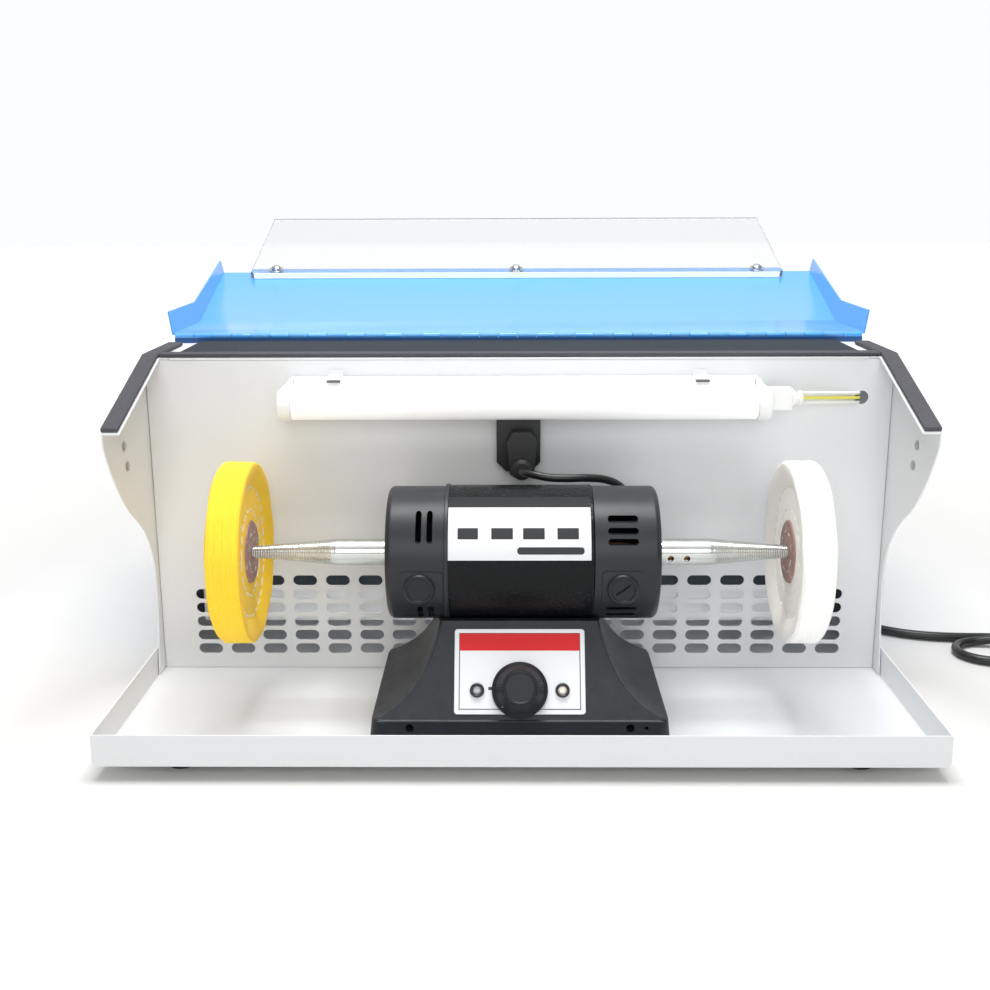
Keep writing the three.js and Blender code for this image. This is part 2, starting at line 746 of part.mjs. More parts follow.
// The foam mat: it stands on the shelf behind its lip, and reaches back over the fan
function filterFoam() {
  const x = cheekInner - filterSideGap;
  const front = panelBack + shelfSetback + sheet + seat;
  const step = fanBack - fanDepth - seat;
  const foot = zOf(shelfHeight) + sheet + seat;
  const overFan = fanCentreZ + fanSize / 2 + seat;
  const top = flangeTop + stripThickness - filterTopGap;
  const side = shapeOf([
    [front, foot], [step, foot], [step, overFan], [fanBack, overFan], [fanBack, top], [front, top],
  ]);
  return runAcross(side, -x, x);
}

// Lamp

// The side view of the lamp in Y and Z: the channel at the panel and the bowed diffuser
function lampChannel(x0, x1) {
  const back = panelSetback - seat;
  const z0 = zOf(lampBottom);
  const z1 = z0 + lampHeight;
  const step = lampHeight / 12;
  const front = back - lampBackDepth;
  return runAcross(shapeOf([
    [back, z0 + step], [front, z0 + step], [front, z1 - step * 2], [front + step * 2, z1], [back, z1],
  ]), x0, x1);
}

function lampDiffuser(x0, x1, grow) {
  const back = panelSetback - seat - lampBackDepth - seat;
  const z0 = zOf(lampBottom) - grow;
  const z1 = zOf(lampBottom) + lampHeight - lampHeight / 6 + grow;
  const depth = lampFrontDepth - seat + grow;
  const shape = new THREE.Shape();
  shape.moveTo(back, z1);
  const front = back - depth;
  shape.bezierCurveTo(back - depth * 0.9, z1, front, z1 - lampHeight * 0.3, front, (z0 + z1) / 2);
  shape.bezierCurveTo(front, z0 + lampHeight * 0.2, back - depth * 0.8, z0, back, z0);
  return runAcross(shape, x0, x1, 5);
}

function lampEndCap(side) {
  const outer = side < 0 ? lampLeft : lampRight;
  const inner = outer - side * lampCapLength;
  const [x0, x1] = [Math.min(outer, inner), Math.max(outer, inner)];
  const back = panelSetback - seat;
  const grow = sheet * 0.6;
  const front = lampDiffuser(x0, x1, grow);
  const z0 = zOf(lampBottom);
  const z1 = z0 + lampHeight;
  const body = block(x0, x1, back - lampBackDepth - seat - sheet, back, z0, z1);
  const c = lampCapChamfer;
  const notch = runBack(shapeOf([
    [outer + side * overrun, z1 + overrun], [outer - side * c, z1 + overrun], [outer - side * c, z1],
    [outer - side * c * 0.3, z1 - c], [outer + side * overrun, z1 - c],
  ]), back - cabinetDepth / 2, back + overrun);
  return cut(join(front, body), notch);
}

function lampPlug() {
  const x0 = lampRight + seat;
  const x1 = x0 + lampPlugLength;
  const y = panelSetback - lampBackDepth;
  const z = zOf(wireHoleZ) + lampWireRadius * 2;
  const h = lampPlugHeight / 2;
  const body = block(x0, x1, y - h * 0.8, y + h * 0.8, z - h, z + h);
  const neck = turnedX([
    [x1 - sheet, 0], [x1 - sheet, lampNeckHeight / 2], [x1 + lampNeckLength * 0.3, lampNeckHeight / 2],
    [x1 + lampNeckLength * 0.4, lampNeckHeight * 0.4], [x1 + lampNeckLength * 0.6, lampNeckHeight * 0.4],
    [x1 + lampNeckLength * 0.7, lampNeckHeight / 2], [x1 + lampNeckLength, lampNeckHeight / 2],
    [x1 + lampNeckLength, 0],
  ], 12).translate(0, y, z);
  return join(body, neck);
}

// Three wires side by side, as one three-lobed lead that turns in through the panel's hole
function lampWires() {
  const r = lampWireRadius;
  const lead = new THREE.Shape();
  const lobes = [-1, 0, 1];
  lobes.forEach((k) => lead.absarc(0, k * r * 1.9, r, -Math.PI * 0.3, Math.PI * 0.3, false));
  [...lobes].reverse().forEach((k) => lead.absarc(0, k * r * 1.9, r, Math.PI * 0.7, Math.PI * 1.3, false));
  lead.closePath();
  const x0 = lampRight + seat + lampPlugLength + lampNeckLength + seat;
  const y = panelSetback - lampBackDepth;
  const z = zOf(wireHoleZ);
  const path = new THREE.CatmullRomCurve3([
    new THREE.Vector3(x0, y, z + r * 2), new THREE.Vector3(x0 + r * 3, y, z + r * 2),
    new THREE.Vector3((x0 + wireHoleX) / 2, y - r, z + r), new THREE.Vector3(wireHoleX - r * 9, y, z),
    new THREE.Vector3(wireHoleX - r * 2, y + r * 6, z), new THREE.Vector3(wireHoleX, panelSetback, z),
    new THREE.Vector3(wireHoleX, panelBack + r * 5, z),
  ]);
  return sweptUpright(lead, path, 14);
}

// An outline carried along a path that stays nearly level, its second axis kept upright
function sweptUpright(shape, path, steps) {
  const outline = shape.getPoints(1).slice(0, -1);
  const up = new THREE.Vector3(0, 0, 1);
  const rings = [...Array(steps + 1).keys()].map((i) => {
    const at = path.getPointAt(i / steps);
    const side = new THREE.Vector3().crossVectors(path.getTangentAt(i / steps), up).normalize();
    return outline.map((p) => {
      const point = at.clone().addScaledVector(side, p.x).addScaledVector(up, p.y);
      return [point.x, point.y, point.z];
    });
  });
  return sweptRings(rings, outline);
}

// Rings joined into a closed tube whose ends are filled with the outline's own triangles
function sweptRings(rings, outline) {
  const count = outline.length;
  const index = [];
  for (let i = 0; i + 1 < rings.length; i += 1) {
    for (let j = 0; j < count; j += 1) {
      const a = i * count + j;
      const b = i * count + (j + 1) % count;
      index.push(a, b, b + count, a, b + count, a + count);
    }
  }
  const last = (rings.length - 1) * count;
  THREE.ShapeUtils.triangulateShape(outline, []).forEach(([a, b, c]) => {
    index.push(a, c, b, last + a, last + b, last + c);
  });
  const geometry = new THREE.BufferGeometry();
  geometry.setAttribute('position', new THREE.Float32BufferAttribute(rings.flat(2), 3));
  geometry.setIndex(index);
  return geometry;
}

// Hinge

const knucklePitch = 2 * hingeHalf / knuckleCount;

function knuckle(x0, x1, bore) {
  const profile = bore
    ? [[x0, bore], [x0, knuckleRadius], [x1, knuckleRadius], [x1, bore], [x0, bore]]
    : [[x0, 0], [x0, knuckleRadius], [x1, knuckleRadius], [x1, 0]];
  return turnedX(profile, 6).rotateX(Math.PI / 6).translate(0, hingeY, hingeZ);
}

// Every second knuckle of the hinge with its tab, on a leaf
function hingeLeaf(first, bore, tabOf, plate) {
  const pieces = [plate];
  for (let k = first; k < knuckleCount; k += 2) {
    const x0 = -hingeHalf + k * knucklePitch + seat / 2;
    const x1 = x0 + knucklePitch - seat;
    pieces.push(tabOf(x0, x1), knuckle(x0, x1, bore));
  }
  return join(...pieces);
}

// The fixed leaf holds the pin, which the moving leaf turns on
function hingeFixedLeaf() {
  const y0 = cabinetDepth + seat;
  const y1 = y0 + leafThickness;
  const top = hingeZ - knuckleRadius - seat;
  const plate = block(-hingeHalf, hingeHalf, y0, y1, top - leafDepth, top);
  const tab = (x0, x1) => block(x0, x1, y0, y1, top - sheet, hingeZ - knuckleBore * 1.2);
  const pin = rodX(-hingeHalf + seat, hingeHalf - seat, pinRadius, 6).translate(0, hingeY, hingeZ);
  return join(hingeLeaf(0, 0, tab, plate), pin);
}

function hingeMovingLeaf() {
  const z1 = lidInnerZ - sheet - seat;
  const z0 = z1 - leafThickness;
  const plate = block(-hingeHalf, hingeHalf, lidRear, lidRear + leafDepth, z0, z1);
  const tab = (x0, x1) => block(x0, x1, hingeY + knuckleBore * 1.3, lidRear + sheet, z0, z1);
  return hingeLeaf(1, knuckleBore, tab, plate);
}

// Lid, open and lying back

// A side flange of the lid, leaning outwards, as rings along its bent foot
function lidSide() {
  const cosSlope = Math.cos(hoodSlope);
  const sinSlope = Math.sin(hoodSlope);
  const foot = [
    [lidRear, lidInnerZ - sheet], [lidBendY, lidInnerZ - sheet],
    [lidBendY + lidFlap * cosSlope, lidInnerZ - sheet + lidFlap * sinSlope],
  ];
  const lean = Math.tan(hoodSlope / 2);
  const tops = [
    [lidRear, foot[0][1] + sheet + lidSideHeight],
    [lidBendY - lidSideHeight * lean, foot[1][1] + sheet + lidSideHeight],
    [foot[2][0] - (lidSideTip + sheet) * sinSlope, foot[2][1] + (lidSideTip + sheet) * cosSlope],
  ];
  const x = halfWidth + seat * 2;
  const rings = foot.map(([y, z], i) => {
    const [topY, topZ] = tops[i];
    const out = lidSideLean * Math.hypot(topY - y, topZ - z);
    return [[x - sheet, y, z], [x, y, z], [x + out, topY, topZ], [x + out - sheet, topY, topZ]];
  });
  return lofted(rings);
}

function lidPanel() {
  const x = halfWidth + seat * 2;
  const flat = block(-x, x, lidRear, lidBendY, lidInnerZ - sheet, lidInnerZ);
  const corner = sheet * Math.tan(hoodSlope / 2);
  const flap = shapeOf([
    [0, 0], [0, -sheet], [corner, -sheet], [lidFlap, -sheet], [lidFlap, 0],
  ]);
  const slope = runAcross(flap, -x, x).rotateX(hoodSlope).translate(0, lidBendY, lidInnerZ);
  const holes = [-1, 0, 1].map((side) => rodZ(-sheet - overrun, overrun, screwHole, 10)
    .translate(side * visorScrewX, lidFlap - visorOverlap / 2, 0)
    .rotateX(hoodSlope).translate(0, lidBendY, lidInnerZ));
  const side = solid(lidSide());
  return cut(join(flat, slope, side, mirrored(side)), ...holes);
}

// The visor and its screws lie in the plane of the sloping part of the lid
const flapFrame = new THREE.Group();
flapFrame.position.set(0, lidBendY, lidInnerZ);
flapFrame.rotation.x = hoodSlope;
nodes.add(flapFrame);

function visor() {
  const x = visorHalf;
  const y0 = lidFlap - visorOverlap;
  const y1 = y0 + visorLength;
  const r = visorCorner;
  const shape = new THREE.Shape();
  shape.moveTo(x, y1);
  shape.lineTo(-x, y1);
  shape.lineTo(-x, y0 + r);
  shape.absarc(-x + r, y0 + r, r, Math.PI, Math.PI * 1.5, false);
  shape.lineTo(x - r, y0);
  shape.absarc(x - r, y0 + r, r, Math.PI * 1.5, Math.PI * 2, false);
  shape.lineTo(x, y1);
  [-1, 0, 1].forEach((side) => {
    const hole = new THREE.Path();
    hole.absarc(side * visorScrewX, y0 + visorOverlap / 2, screwHole, 0, Math.PI * 2, true);
    shape.holes.push(hole);
  });
  return raised(shape, seat, seat + visorThickness, 5);
}

// Switch and cord gland

function switchFrame() {
  const x = switchWidth / 2;
  const z = switchHeight / 2;
  const y1 = cabinetDepth + seat + switchBezel;
  const bezel = block(-x, x, cabinetDepth + seat, y1, -z, z);
  const body = block(-x + switchBezel, x - switchBezel, cabinetDepth - switchDepth, y1 - sheet,
    -z + switchBezel, z - switchBezel);
  const pocket = block(-x + switchBezel * 2, x - switchBezel * 2, y1 - switchBezel * 3, y1 + overrun,
    -z + switchBezel * 1.8, z - switchBezel * 1.8);
  return cut(join(bezel, body), pocket).translate([switchX, 0, zOf(switchZ)]);
}

// The rocker, tilted to its off side about a pivot along Z
function switchRocker() {
  const x = switchWidth / 2 - switchBezel * 2 - seat * 2;
  const z = switchHeight / 2 - switchBezel * 1.8 - seat;
  const rise = x * Math.tan(rockerTilt);
  const base = -switchBezel - seat;
  const shape = shapeOf([
    [-x, base + rise * 1.2], [0, base], [x, base + rise * 1.2], [x, rockerProud + rise],
    [0, rockerProud * 0.6], [-x, rockerProud + rise],
  ]);
  return raised(shape, -z, z).rotateZ(-rockerTilt)
    .translate(switchX, cabinetDepth + seat + switchBezel - switchBezel * 0.5, zOf(switchZ));
}

function cordGland() {
  const y0 = cabinetDepth + seat;
  const y1 = y0 + glandFlange;
  const tip = mainsDiameter * 0.75;
  return turnedY([
    [wallFront - glandFlange, 0], [wallFront - glandFlange, glandHole], [y0, glandHole],
    [y0, glandFlangeRadius], [y1 - sheet, glandFlangeRadius], [y1, glandFlangeRadius - sheet],
    [y1, glandHole + sheet], [y0 + glandTail, tip], [y0 + glandTail, 0],
  ], 16).translate(glandX, 0, zOf(glandZ));
}

// Motor

const leftFace = -drumLength / 2;
const rightFace = drumLength / 2;

function motorDrum() {
  const inner = drumRadius - drumWall;
  return turnedX([
    [leftFace, inner], [leftFace, drumRadius - sheet], [leftFace + sheet, drumRadius],
    [rightFace - sheet, drumRadius], [rightFace, drumRadius - sheet], [rightFace, inner], [leftFace, inner],
  ], 36).translate(0, axisY, axisZ);
}

// An end cap as a turned cup from its open end to its closed one, along +X from the drum
function capCup(length) {
  const end = length;
  const inner = capRadius - capWall;
  const spigot = drumRadius - drumWall - seat;
  const hub = bearingRadius + seat;
  const hubEnd = end - capWall - bearingWidth - seat;
  return turnedX([
    [seat, capRadius], [end - capRound, capRadius], [end - capRound * 0.35, capRadius - capRound * 0.3],
    [end, capRadius - capRound], [end, shaftRadius + sheet], [end - capWall, shaftRadius + sheet],
    [end - capWall, hub], [hubEnd, hub], [hubEnd, hub + capWall], [end - capWall, hub + capWall],
    [end - capWall, inner - capRound], [-capSpigot, spigot - capWall], [-capSpigot, spigot],
    [seat, spigot], [seat, capRadius],
  ], 32);
}

// Openings through the cap's wall, facing the front, and the same at the back
function capVents(boxes) {
  const reach = capRadius + overrun;
  const depth = capWall * 4;
  return boxes.flatMap(([x0, x1, z0, z1]) => [
    block(x0, x1, -reach, -reach + depth, z0, z1), block(x0, x1, reach - depth, reach, z0, z1),
  ]);
}

function brushPocket(x) {
  return rodY(-capRadius - overrun, -capRadius + brushHolderDepth + capWall, brushHolderRadius + seat, 16)
    .translate(x, 0, capBrushZ);
}

const leftBrushX = -leftCapLength * 0.4;
const rightBrushX = rightCapLength * 0.39;

function endCapRight() {
  const slot = ventSlotGauge / 2;
  const x0 = rightCapLength * 0.28;
  const boxes = rightVentShares.map((share) => (
    [x0, x0 + ventSlotRun, share * capRadius - slot, share * capRadius + slot]
  ));
  return cut(capCup(rightCapLength), ...capVents(boxes), brushPocket(rightBrushX))
    .translate([rightFace, axisY, axisZ]);
}

function endCapLeft() {
  const boxes = leftVentColumnShares.flatMap((place) => leftVentSpanShares.map(([a, b]) => {
    const x = -leftCapLength * place;
    return [x - ventSlotGauge / 2, x + ventSlotGauge / 2, a * capRadius, b * capRadius];
  }));
  const ring = turnedX([
    [-seat - capRing, capRadius - sheet], [-seat - capRing, drumRadius + seat], [-seat, drumRadius + seat],
    [-seat, capRadius - sheet], [-seat - capRing, capRadius - sheet],
  ], 32);
  const cup = join(mirrored(capCup(leftCapLength)), ring);
  return cut(cup, ...capVents(boxes), brushPocket(leftBrushX)).translate([leftFace, axisY, axisZ]);
}

// A slotted cap over a brush holder, facing the front
function brushCap(x) {
  const face = -capRadius - brushCapThickness;
  const body = turnedY([
    [face, 0], [face, brushCapRadius * 0.8], [face + brushCapThickness * 0.4, brushCapRadius],
    [face + brushCapThickness - seat, brushCapRadius], [face + brushCapThickness - seat, brushHolderRadius],
    [-capRadius + brushHolderDepth, brushHolderRadius], [-capRadius + brushHolderDepth, 0],
  ], 16);
  const w = brushCapRadius * 0.09;
  const groove = block(-brushCapRadius * 0.6, brushCapRadius * 0.6, face - overrun,
    face + brushCapThickness * 0.4, -w, w).rotateY(Math.PI / 5);
  return cut(body, groove).translate([x, axisY, axisZ + capBrushZ]);
}

function stator() {
  const x = statorLength / 2;
  const outer = drumRadius - drumWall - seat;
  return turnedX([[-x, statorBore], [-x, outer], [x, outer], [x, statorBore], [-x, statorBore]], 32)
    .translate(0, axisY, axisZ);
}

function bearing(x0) {
  const x1 = x0 + bearingWidth;
  const inner = shaftRadius + seat;
  return turnedX([[x0, inner], [x0, bearingRadius], [x1, bearingRadius], [x1, inner], [x0, inner]], 20)
    .translate(0, axisY, axisZ);
}

const rightEnd = rightFace + rightCapLength;
const leftEnd = leftFace - leftCapLength;

function armature() {
  const core = armatureLength / 2;
  const brushSide = core + sheet * 2;
  const commEnd = brushSide + commutatorLength;
  const right = rightEnd + seat + spindleSocket - sheet;
  const left = leftEnd - seat - spindleSocket + sheet;
  return turnedX([
    [left, 0], [left, shaftRadius - seat], [left + seat, shaftRadius], [-core - sheet * 4, shaftRadius],
    [-core - sheet * 4, armatureRadius * 0.6], [-core, armatureRadius * 0.8], [-core, armatureRadius],
    [core, armatureRadius], [core, armatureRadius * 0.8], [brushSide, commutatorRadius],
    [commEnd, commutatorRadius], [commEnd, shaftRadius], [right - seat, shaftRadius],
    [right, shaftRadius - seat], [right, 0],
  ], 18).translate(0, axisY, axisZ);
}

// The right-hand spindle: a sleeve over the motor shaft, then a long taper
function spindle(x0) {
  const sleeve = x0 + spindleSleeve;
  const shoulder = sleeve + spindleShoulder;
  const tip = sleeve + spindleTaper;
  const body = turnedX([
    [x0, shaftRadius + seat], [x0, spindleRadius - seat], [x0 + seat, spindleRadius], [sleeve, spindleRadius],
    [shoulder, spindleRadius - sheet * 0.8], [tip - sheet, spindleTip], [tip, spindleTip * 0.6], [tip, 0],
    [x0 + spindleSocket, 0], [x0 + spindleSocket, shaftRadius + seat], [x0, shaftRadius + seat],
  ], 18);
  const holes = setScrewInsets.map((inset) => rodY(-spindleRadius - overrun, -spindleRadius + sheet * 1.2,
    setScrewRadius, 8).translate(x0 + inset, 0, 0));
  return cut(body, ...holes);
}

// Radius of the taper at a distance from the machine's centre
function taperRadius(x, x0) {
  const shoulder = x0 + spindleSleeve + spindleShoulder;
  const tip = x0 + spindleSleeve + spindleTaper - sheet;
  const start = spindleRadius - sheet * 0.8;
  return start + (spindleTip - start) * (x - shoulder) / (tip - shoulder);
}

// A buff facing the machine, with soft round edges and a leather disc at its hole
function buff(spindleStart) {
  const x0 = buffInner;
  const x1 = x0 + buffThickness;
  const hole = (x) => Math.max(taperRadius(x, spindleStart), spindleTip) + taperFit;
  const e = buffEdge;
  return turnedX([
    [x0 - buffLeather, hole(x0 - buffLeather)], [x0 - buffLeather, buffLeatherRadius],
    [x0, buffLeatherRadius], [x0, buffRadius - e], [x0 + e * 0.3, buffRadius - e * 0.3],
    [x0 + e, buffRadius], [x1 - e, buffRadius], [x1 - e * 0.3, buffRadius - e * 0.3],
    [x1, buffRadius - e], [x1, buffLeatherRadius], [x1 + buffLeather, buffLeatherRadius],
    [x1 + buffLeather, hole(x1 + buffLeather)], [x0 - buffLeather, hole(x0 - buffLeather)],
  ], 32);
}

// Base of the motor

const baseBottom = floorZ + seat + latheFootHeight + seat;
const baseFront = axisY - baseDepth / 2;
const baseRear = axisY + baseDepth / 2;
const faceFoot = baseFront + baseShoulderInset;
const faceHead = axisY - baseTopDepth / 2;
const faceTilt = Math.atan2(faceHead - faceFoot, baseTopZ - skirtTop);

// The front view of the flared body in X and Z
function flareOutline() {
  const foot = baseWidth / 2 - baseShoulderInset;
  const head = baseTopWidth / 2;
  const z0 = zOf(skirtTop);
  const z1 = zOf(baseTopZ);
  const point = ([a, b]) => [head + (foot - head) * a, z0 + (z1 - z0) * b];
  const [c1, c2] = baseNeckShares.map(point);
  const shape = new THREE.Shape();
  shape.moveTo(-foot, z0 - sheet);
  shape.lineTo(foot, z0 - sheet);
  shape.lineTo(foot, z0);
  shape.bezierCurveTo(c1[0], c1[1], c2[0], c2[1], head, z1);
  shape.lineTo(-head, z1);
  shape.bezierCurveTo(-c2[0], c2[1], -c1[0], c1[1], -foot, z0);
  return shape;
}

function skirtShape(grow) {
  const x = baseWidth / 2 - grow;
  const y = baseDepth / 2 - grow;
  const r = skirtCorner;
  const shape = new THREE.Shape();
  shape.absarc(x - r, y - r, r, 0, Math.PI / 2, false);
  shape.absarc(-x + r, y - r, r, Math.PI / 2, Math.PI, false);
  shape.absarc(-x + r, -y + r, r, Math.PI, Math.PI * 1.5, false);
  shape.absarc(x - r, -y + r, r, Math.PI * 1.5, Math.PI * 2, false);
  shape.closePath();
  return shape;
}

// The skirt, drawn in slightly towards its top
function skirt() {
  const ring = (grow, z) => skirtShape(grow).getPoints(3).map((p) => [p.x, p.y, z]);
  const tidy = (points) => points.filter((p, i) => {
    const q = points[(i + 1) % points.length];
    return Math.hypot(p[0] - q[0], p[1] - q[1]) > seat;
  });
  const low = tidy(ring(0, baseBottom));
  const high = tidy(ring(baseDraft, zOf(skirtTop)));
  return lofted([low, high]).translate(0, axisY, 0);
}

// Places a piece made about the origin, facing -Y, on the sloping front of the base
function ontoFace(piece, x, along, out) {
  const z = zOf(plateCentreZ) + along * Math.cos(faceTilt);
  const y = faceFoot + (plateCentreZ - skirtTop) * Math.tan(faceTilt) + along * Math.sin(faceTilt);
  return asSolid(piece)
    .translate([0, -out, 0])
    .rotate([-THREE.MathUtils.radToDeg(faceTilt), 0, 0])
    .translate([x, y, z]);
}

function baseHousing() {
  const side = shapeOf([
    [faceFoot, zOf(skirtTop) - sheet], [faceFoot, zOf(skirtTop)], [faceHead, zOf(baseTopZ)],
    [2 * axisY - faceHead, zOf(baseTopZ)], [2 * axisY - faceFoot, zOf(skirtTop)],
    [2 * axisY - faceFoot, zOf(skirtTop) - sheet],
  ]);
  const flare = common(runBack(flareOutline(), faceFoot - overrun, baseRear + overrun, 8),
    runAcross(side, -baseWidth / 2, baseWidth / 2));
  const saddle = rodX(-baseWidth, baseWidth, drumRadius + seat * 3, 40).translate(0, axisY, axisZ);
  const holes = [-1, 1].map((k) => rodY(baseFront - overrun, baseFront + skirtHoleDrop, skirtHoleRadius, 10)
    .translate(k * skirtHoleX, 0, zOf(skirtTop) - skirtHoleDrop));
  const potWell = ontoFace(rodY(-overrun, potDepth + seat, potRadius + seat, 20), 0, -knobDrop, 0);
  const lampWells = [-1, 1].map((k) => ontoFace(
    rodY(-overrun, indicatorDepth + seat, indicatorBody + seat, 12), k * indicatorX, -knobDrop, 0,
  ));
  return cut(join(flare, skirt()), saddle, ...holes, potWell, ...lampWells, reliefWell());
}

function controlPlate() {
  const x = plateWidth / 2;
  const z = plateHeight / 2;
  const r = plateCorner;
  const shape = new THREE.Shape();
  shape.absarc(x - r, z - r, r, 0, Math.PI / 2, false);
  shape.absarc(-x + r, z - r, r, Math.PI / 2, Math.PI, false);
  shape.absarc(-x + r, -z + r, r, Math.PI, Math.PI * 1.5, false);
  shape.absarc(x - r, -z + r, r, Math.PI * 1.5, Math.PI * 2, false);
  shape.closePath();
  const lampHole = indicatorBody + seat;
  const holes = [[0, potBushRadius + seat], [-indicatorX, lampHole], [indicatorX, lampHole]];
  holes.forEach(([at, radius]) => {
    const hole = new THREE.Path();
    hole.absarc(at, -knobDrop, radius, 0, Math.PI * 2, true);
    shape.holes.push(hole);
  });
  const plate = runBack(shape, -plateThickness, 0, 5);
  return ontoFace(plate, 0, 0, seat);
}

function potentiometer() {
  const face = seat + plateThickness;
  const bush = face + knobLift;
  return ontoFace(turnedY([
    [-bush - knobSocketDepth + seat, 0], [-bush - knobSocketDepth + seat, knobShaftRadius],
    [-bush, knobShaftRadius], [-bush, potBushRadius], [0, potBushRadius], [0, potRadius],
    [potDepth, potRadius], [potDepth, 0],
  ], 16), 0, -knobDrop, 0);
}

function indicator(side) {
  const face = seat * 2 + plateThickness;
  return ontoFace(turnedY([
    [-face - indicatorBezel - indicatorLens * 0.3, 0],
    [-face - indicatorBezel, indicatorLens], [-face - indicatorBezel, indicatorRadius - sheet * 0.5],
    [-face - indicatorBezel + sheet * 0.5, indicatorRadius], [-face, indicatorRadius], [-face, indicatorBody],
    [indicatorDepth, indicatorBody], [indicatorDepth, 0],
  ], 14), side * indicatorX, -knobDrop, 0);
}

// The knob: a plain rim, a fluted cone and a flat top, with a socket for the shaft
function speedKnob() {
  const out = seat * 2 + plateThickness + knobLift;
  const count = knobFlutes * 2;
  const ring = (radius, y, depth) => [...Array(count).keys()].map((i) => {
    const r = radius - (i % 2) * depth;
    const angle = i * Math.PI * 2 / count;
    return [r * Math.cos(angle), y, r * Math.sin(angle)];
  });
  const body = lofted([
    ring(knobBaseRadius, 0, 0), ring(knobBaseRadius, -knobRimHeight, 0),
    ring(knobTopRadius + sheet, -knobHeight + knobTopRound, knobFluteDepth),
    ring(knobTopRadius, -knobHeight, knobFluteDepth),
  ]);
  const socket = rodY(-knobSocketDepth, overrun, knobShaftRadius + seat, 14);
  const half = knobBaseRadius * 0.035;
  const pointer = block(knobTopRadius * 0.9, knobBaseRadius * 2, -knobHeight * 2, overrun, -half, half)
    .rotateY(THREE.MathUtils.degToRad(135));
  const shell = lofted([
    ring(knobBaseRadius * 1.5, overrun, 0), ring(knobBaseRadius - sheet * 0.5, -knobRimHeight, 0),
    ring(knobTopRadius + sheet * 0.4, -knobHeight + knobTopRound, knobFluteDepth),
    ring(knobTopRadius * 0.9, -knobHeight - overrun, 0),
  ]);
  const groove = cut(pointer, shell);
  return ontoFace(cut(body, socket, groove), 0, -knobDrop, out);
}

// Cord relief at the back of the base

function alongRelief(piece) {
  const y = 2 * axisY - faceFoot - (reliefFootZ - skirtTop) * Math.tan(faceTilt);
  return asSolid(piece).rotate([THREE.MathUtils.radToDeg(reliefTilt), 0, 0])
    .translate([reliefX, y, zOf(reliefFootZ)]);
}

function cordRelief() {
  return alongRelief(turnedY([
    [-reliefRadius * 0.6, 0], [-reliefRadius * 0.6, reliefRadius * 0.8], [0, reliefRadius],
    [reliefLength * 0.3, reliefRadius], [reliefLength, reliefTipRadius], [reliefLength, 0],
  ], 14));
}

function reliefWell() {
  return alongRelief(rodY(-reliefRadius * 0.6 - seat, reliefLength, reliefRadius + seat, 14));
}

// Cords

function tube(points, radius, steps) {
  const places = points.map(([x, y, z]) => new THREE.Vector3(x, y, z));
  const path = new THREE.CatmullRomCurve3(places, false, 'centripetal');
  const section = new THREE.Shape();
  section.absarc(0, 0, radius, 0, Math.PI * 2, false);
  return new THREE.ExtrudeGeometry(section, {
    steps, curveSegments: 3, bevelEnabled: false, extrudePath: path,
  });
}

// The coil's centre line: in along the lower layer, up in half a turn, and out along the upper one
function coilPoint(turn) {
  const climb = THREE.MathUtils.clamp((turn - coilTurns) * 2, 0, 1);
  const rise = climb * climb * (3 - 2 * climb);
  const radius = coilInner + coilStep * (Math.abs(turn - coilTurns - 0.25) - 0.25);
  const angle = Math.PI / 2 - turn * Math.PI * 2;
  return new THREE.Vector3(
    coilX + radius * Math.cos(angle), coilY + radius * Math.sin(angle),
    mainsDiameter / 2 + seat + rise * coilStep,
  );
}

const coilOutTurns = coilTurns - 0.25;
const coilEnd = coilTurns + 0.5 + coilOutTurns;

function mainsCoil() {
  const steps = Math.round(coilEnd * coilSidesPerTurn);
  const centres = [...Array(steps + 1).keys()].map((i) => coilPoint(coilEnd * i / steps));
  const lead = mainsDiameter;
  const first = centres[0].clone().add(new THREE.Vector3(-lead, 0, 0));
  const last = centres[steps].clone().add(new THREE.Vector3(0, -lead, 0));
  const route = [first, ...centres, last];
  const up = new THREE.Vector3(0, 0, 1);
  const sides = 6;
  const rings = route.map((at, i) => {
    const before = route[Math.max(i - 1, 0)];
    const after = route[Math.min(i + 1, route.length - 1)];
    const forward = new THREE.Vector3().subVectors(after, before).normalize();
    const side = new THREE.Vector3().crossVectors(forward, up).normalize();
    const over = new THREE.Vector3().crossVectors(side, forward);
    return [...Array(sides).keys()].map((k) => {
      const angle = k * Math.PI * 2 / sides;
      const point = at.clone().addScaledVector(side, Math.cos(angle) * mainsDiameter / 2)
        .addScaledVector(over, Math.sin(angle) * mainsDiameter / 2);
      return [point.x, point.y, point.z];
    });
  });
  console.log(`least gap in the coil ${coilGap(route).toFixed(2)} mm`);
  return lofted(rings);
}

// Least gap between turns of the coil, measured between points more than half a turn apart
function coilGap(route) {
  let least = Infinity;
  for (let i = 0; i < route.length; i += 1) {
    for (let j = i + Math.round(coilSidesPerTurn / 2); j < route.length; j += 1) {
      least = Math.min(least, route[i].distanceTo(route[j]) - mainsDiameter);
    }
  }
  return least;
}

// The cord's end, from the coil's upper layer down to the plug on the table
function mainsTail() {
  const start = coilPoint(coilEnd).add(new THREE.Vector3(0, -mainsDiameter - seat, 0));
  const plugZ = mainsPlugHeight / 2 + seat;
  const span = start.y - mainsPlugY - seat;
  return tube([
    [start.x, start.y, start.z], [start.x, start.y - span * 0.2, start.z],
    [start.x, start.y - span * 0.5, (start.z + plugZ) / 2], [start.x, start.y - span * 0.8, plugZ],
    [start.x, start.y - span, plugZ],
  ], mainsDiameter / 2, 10);
}

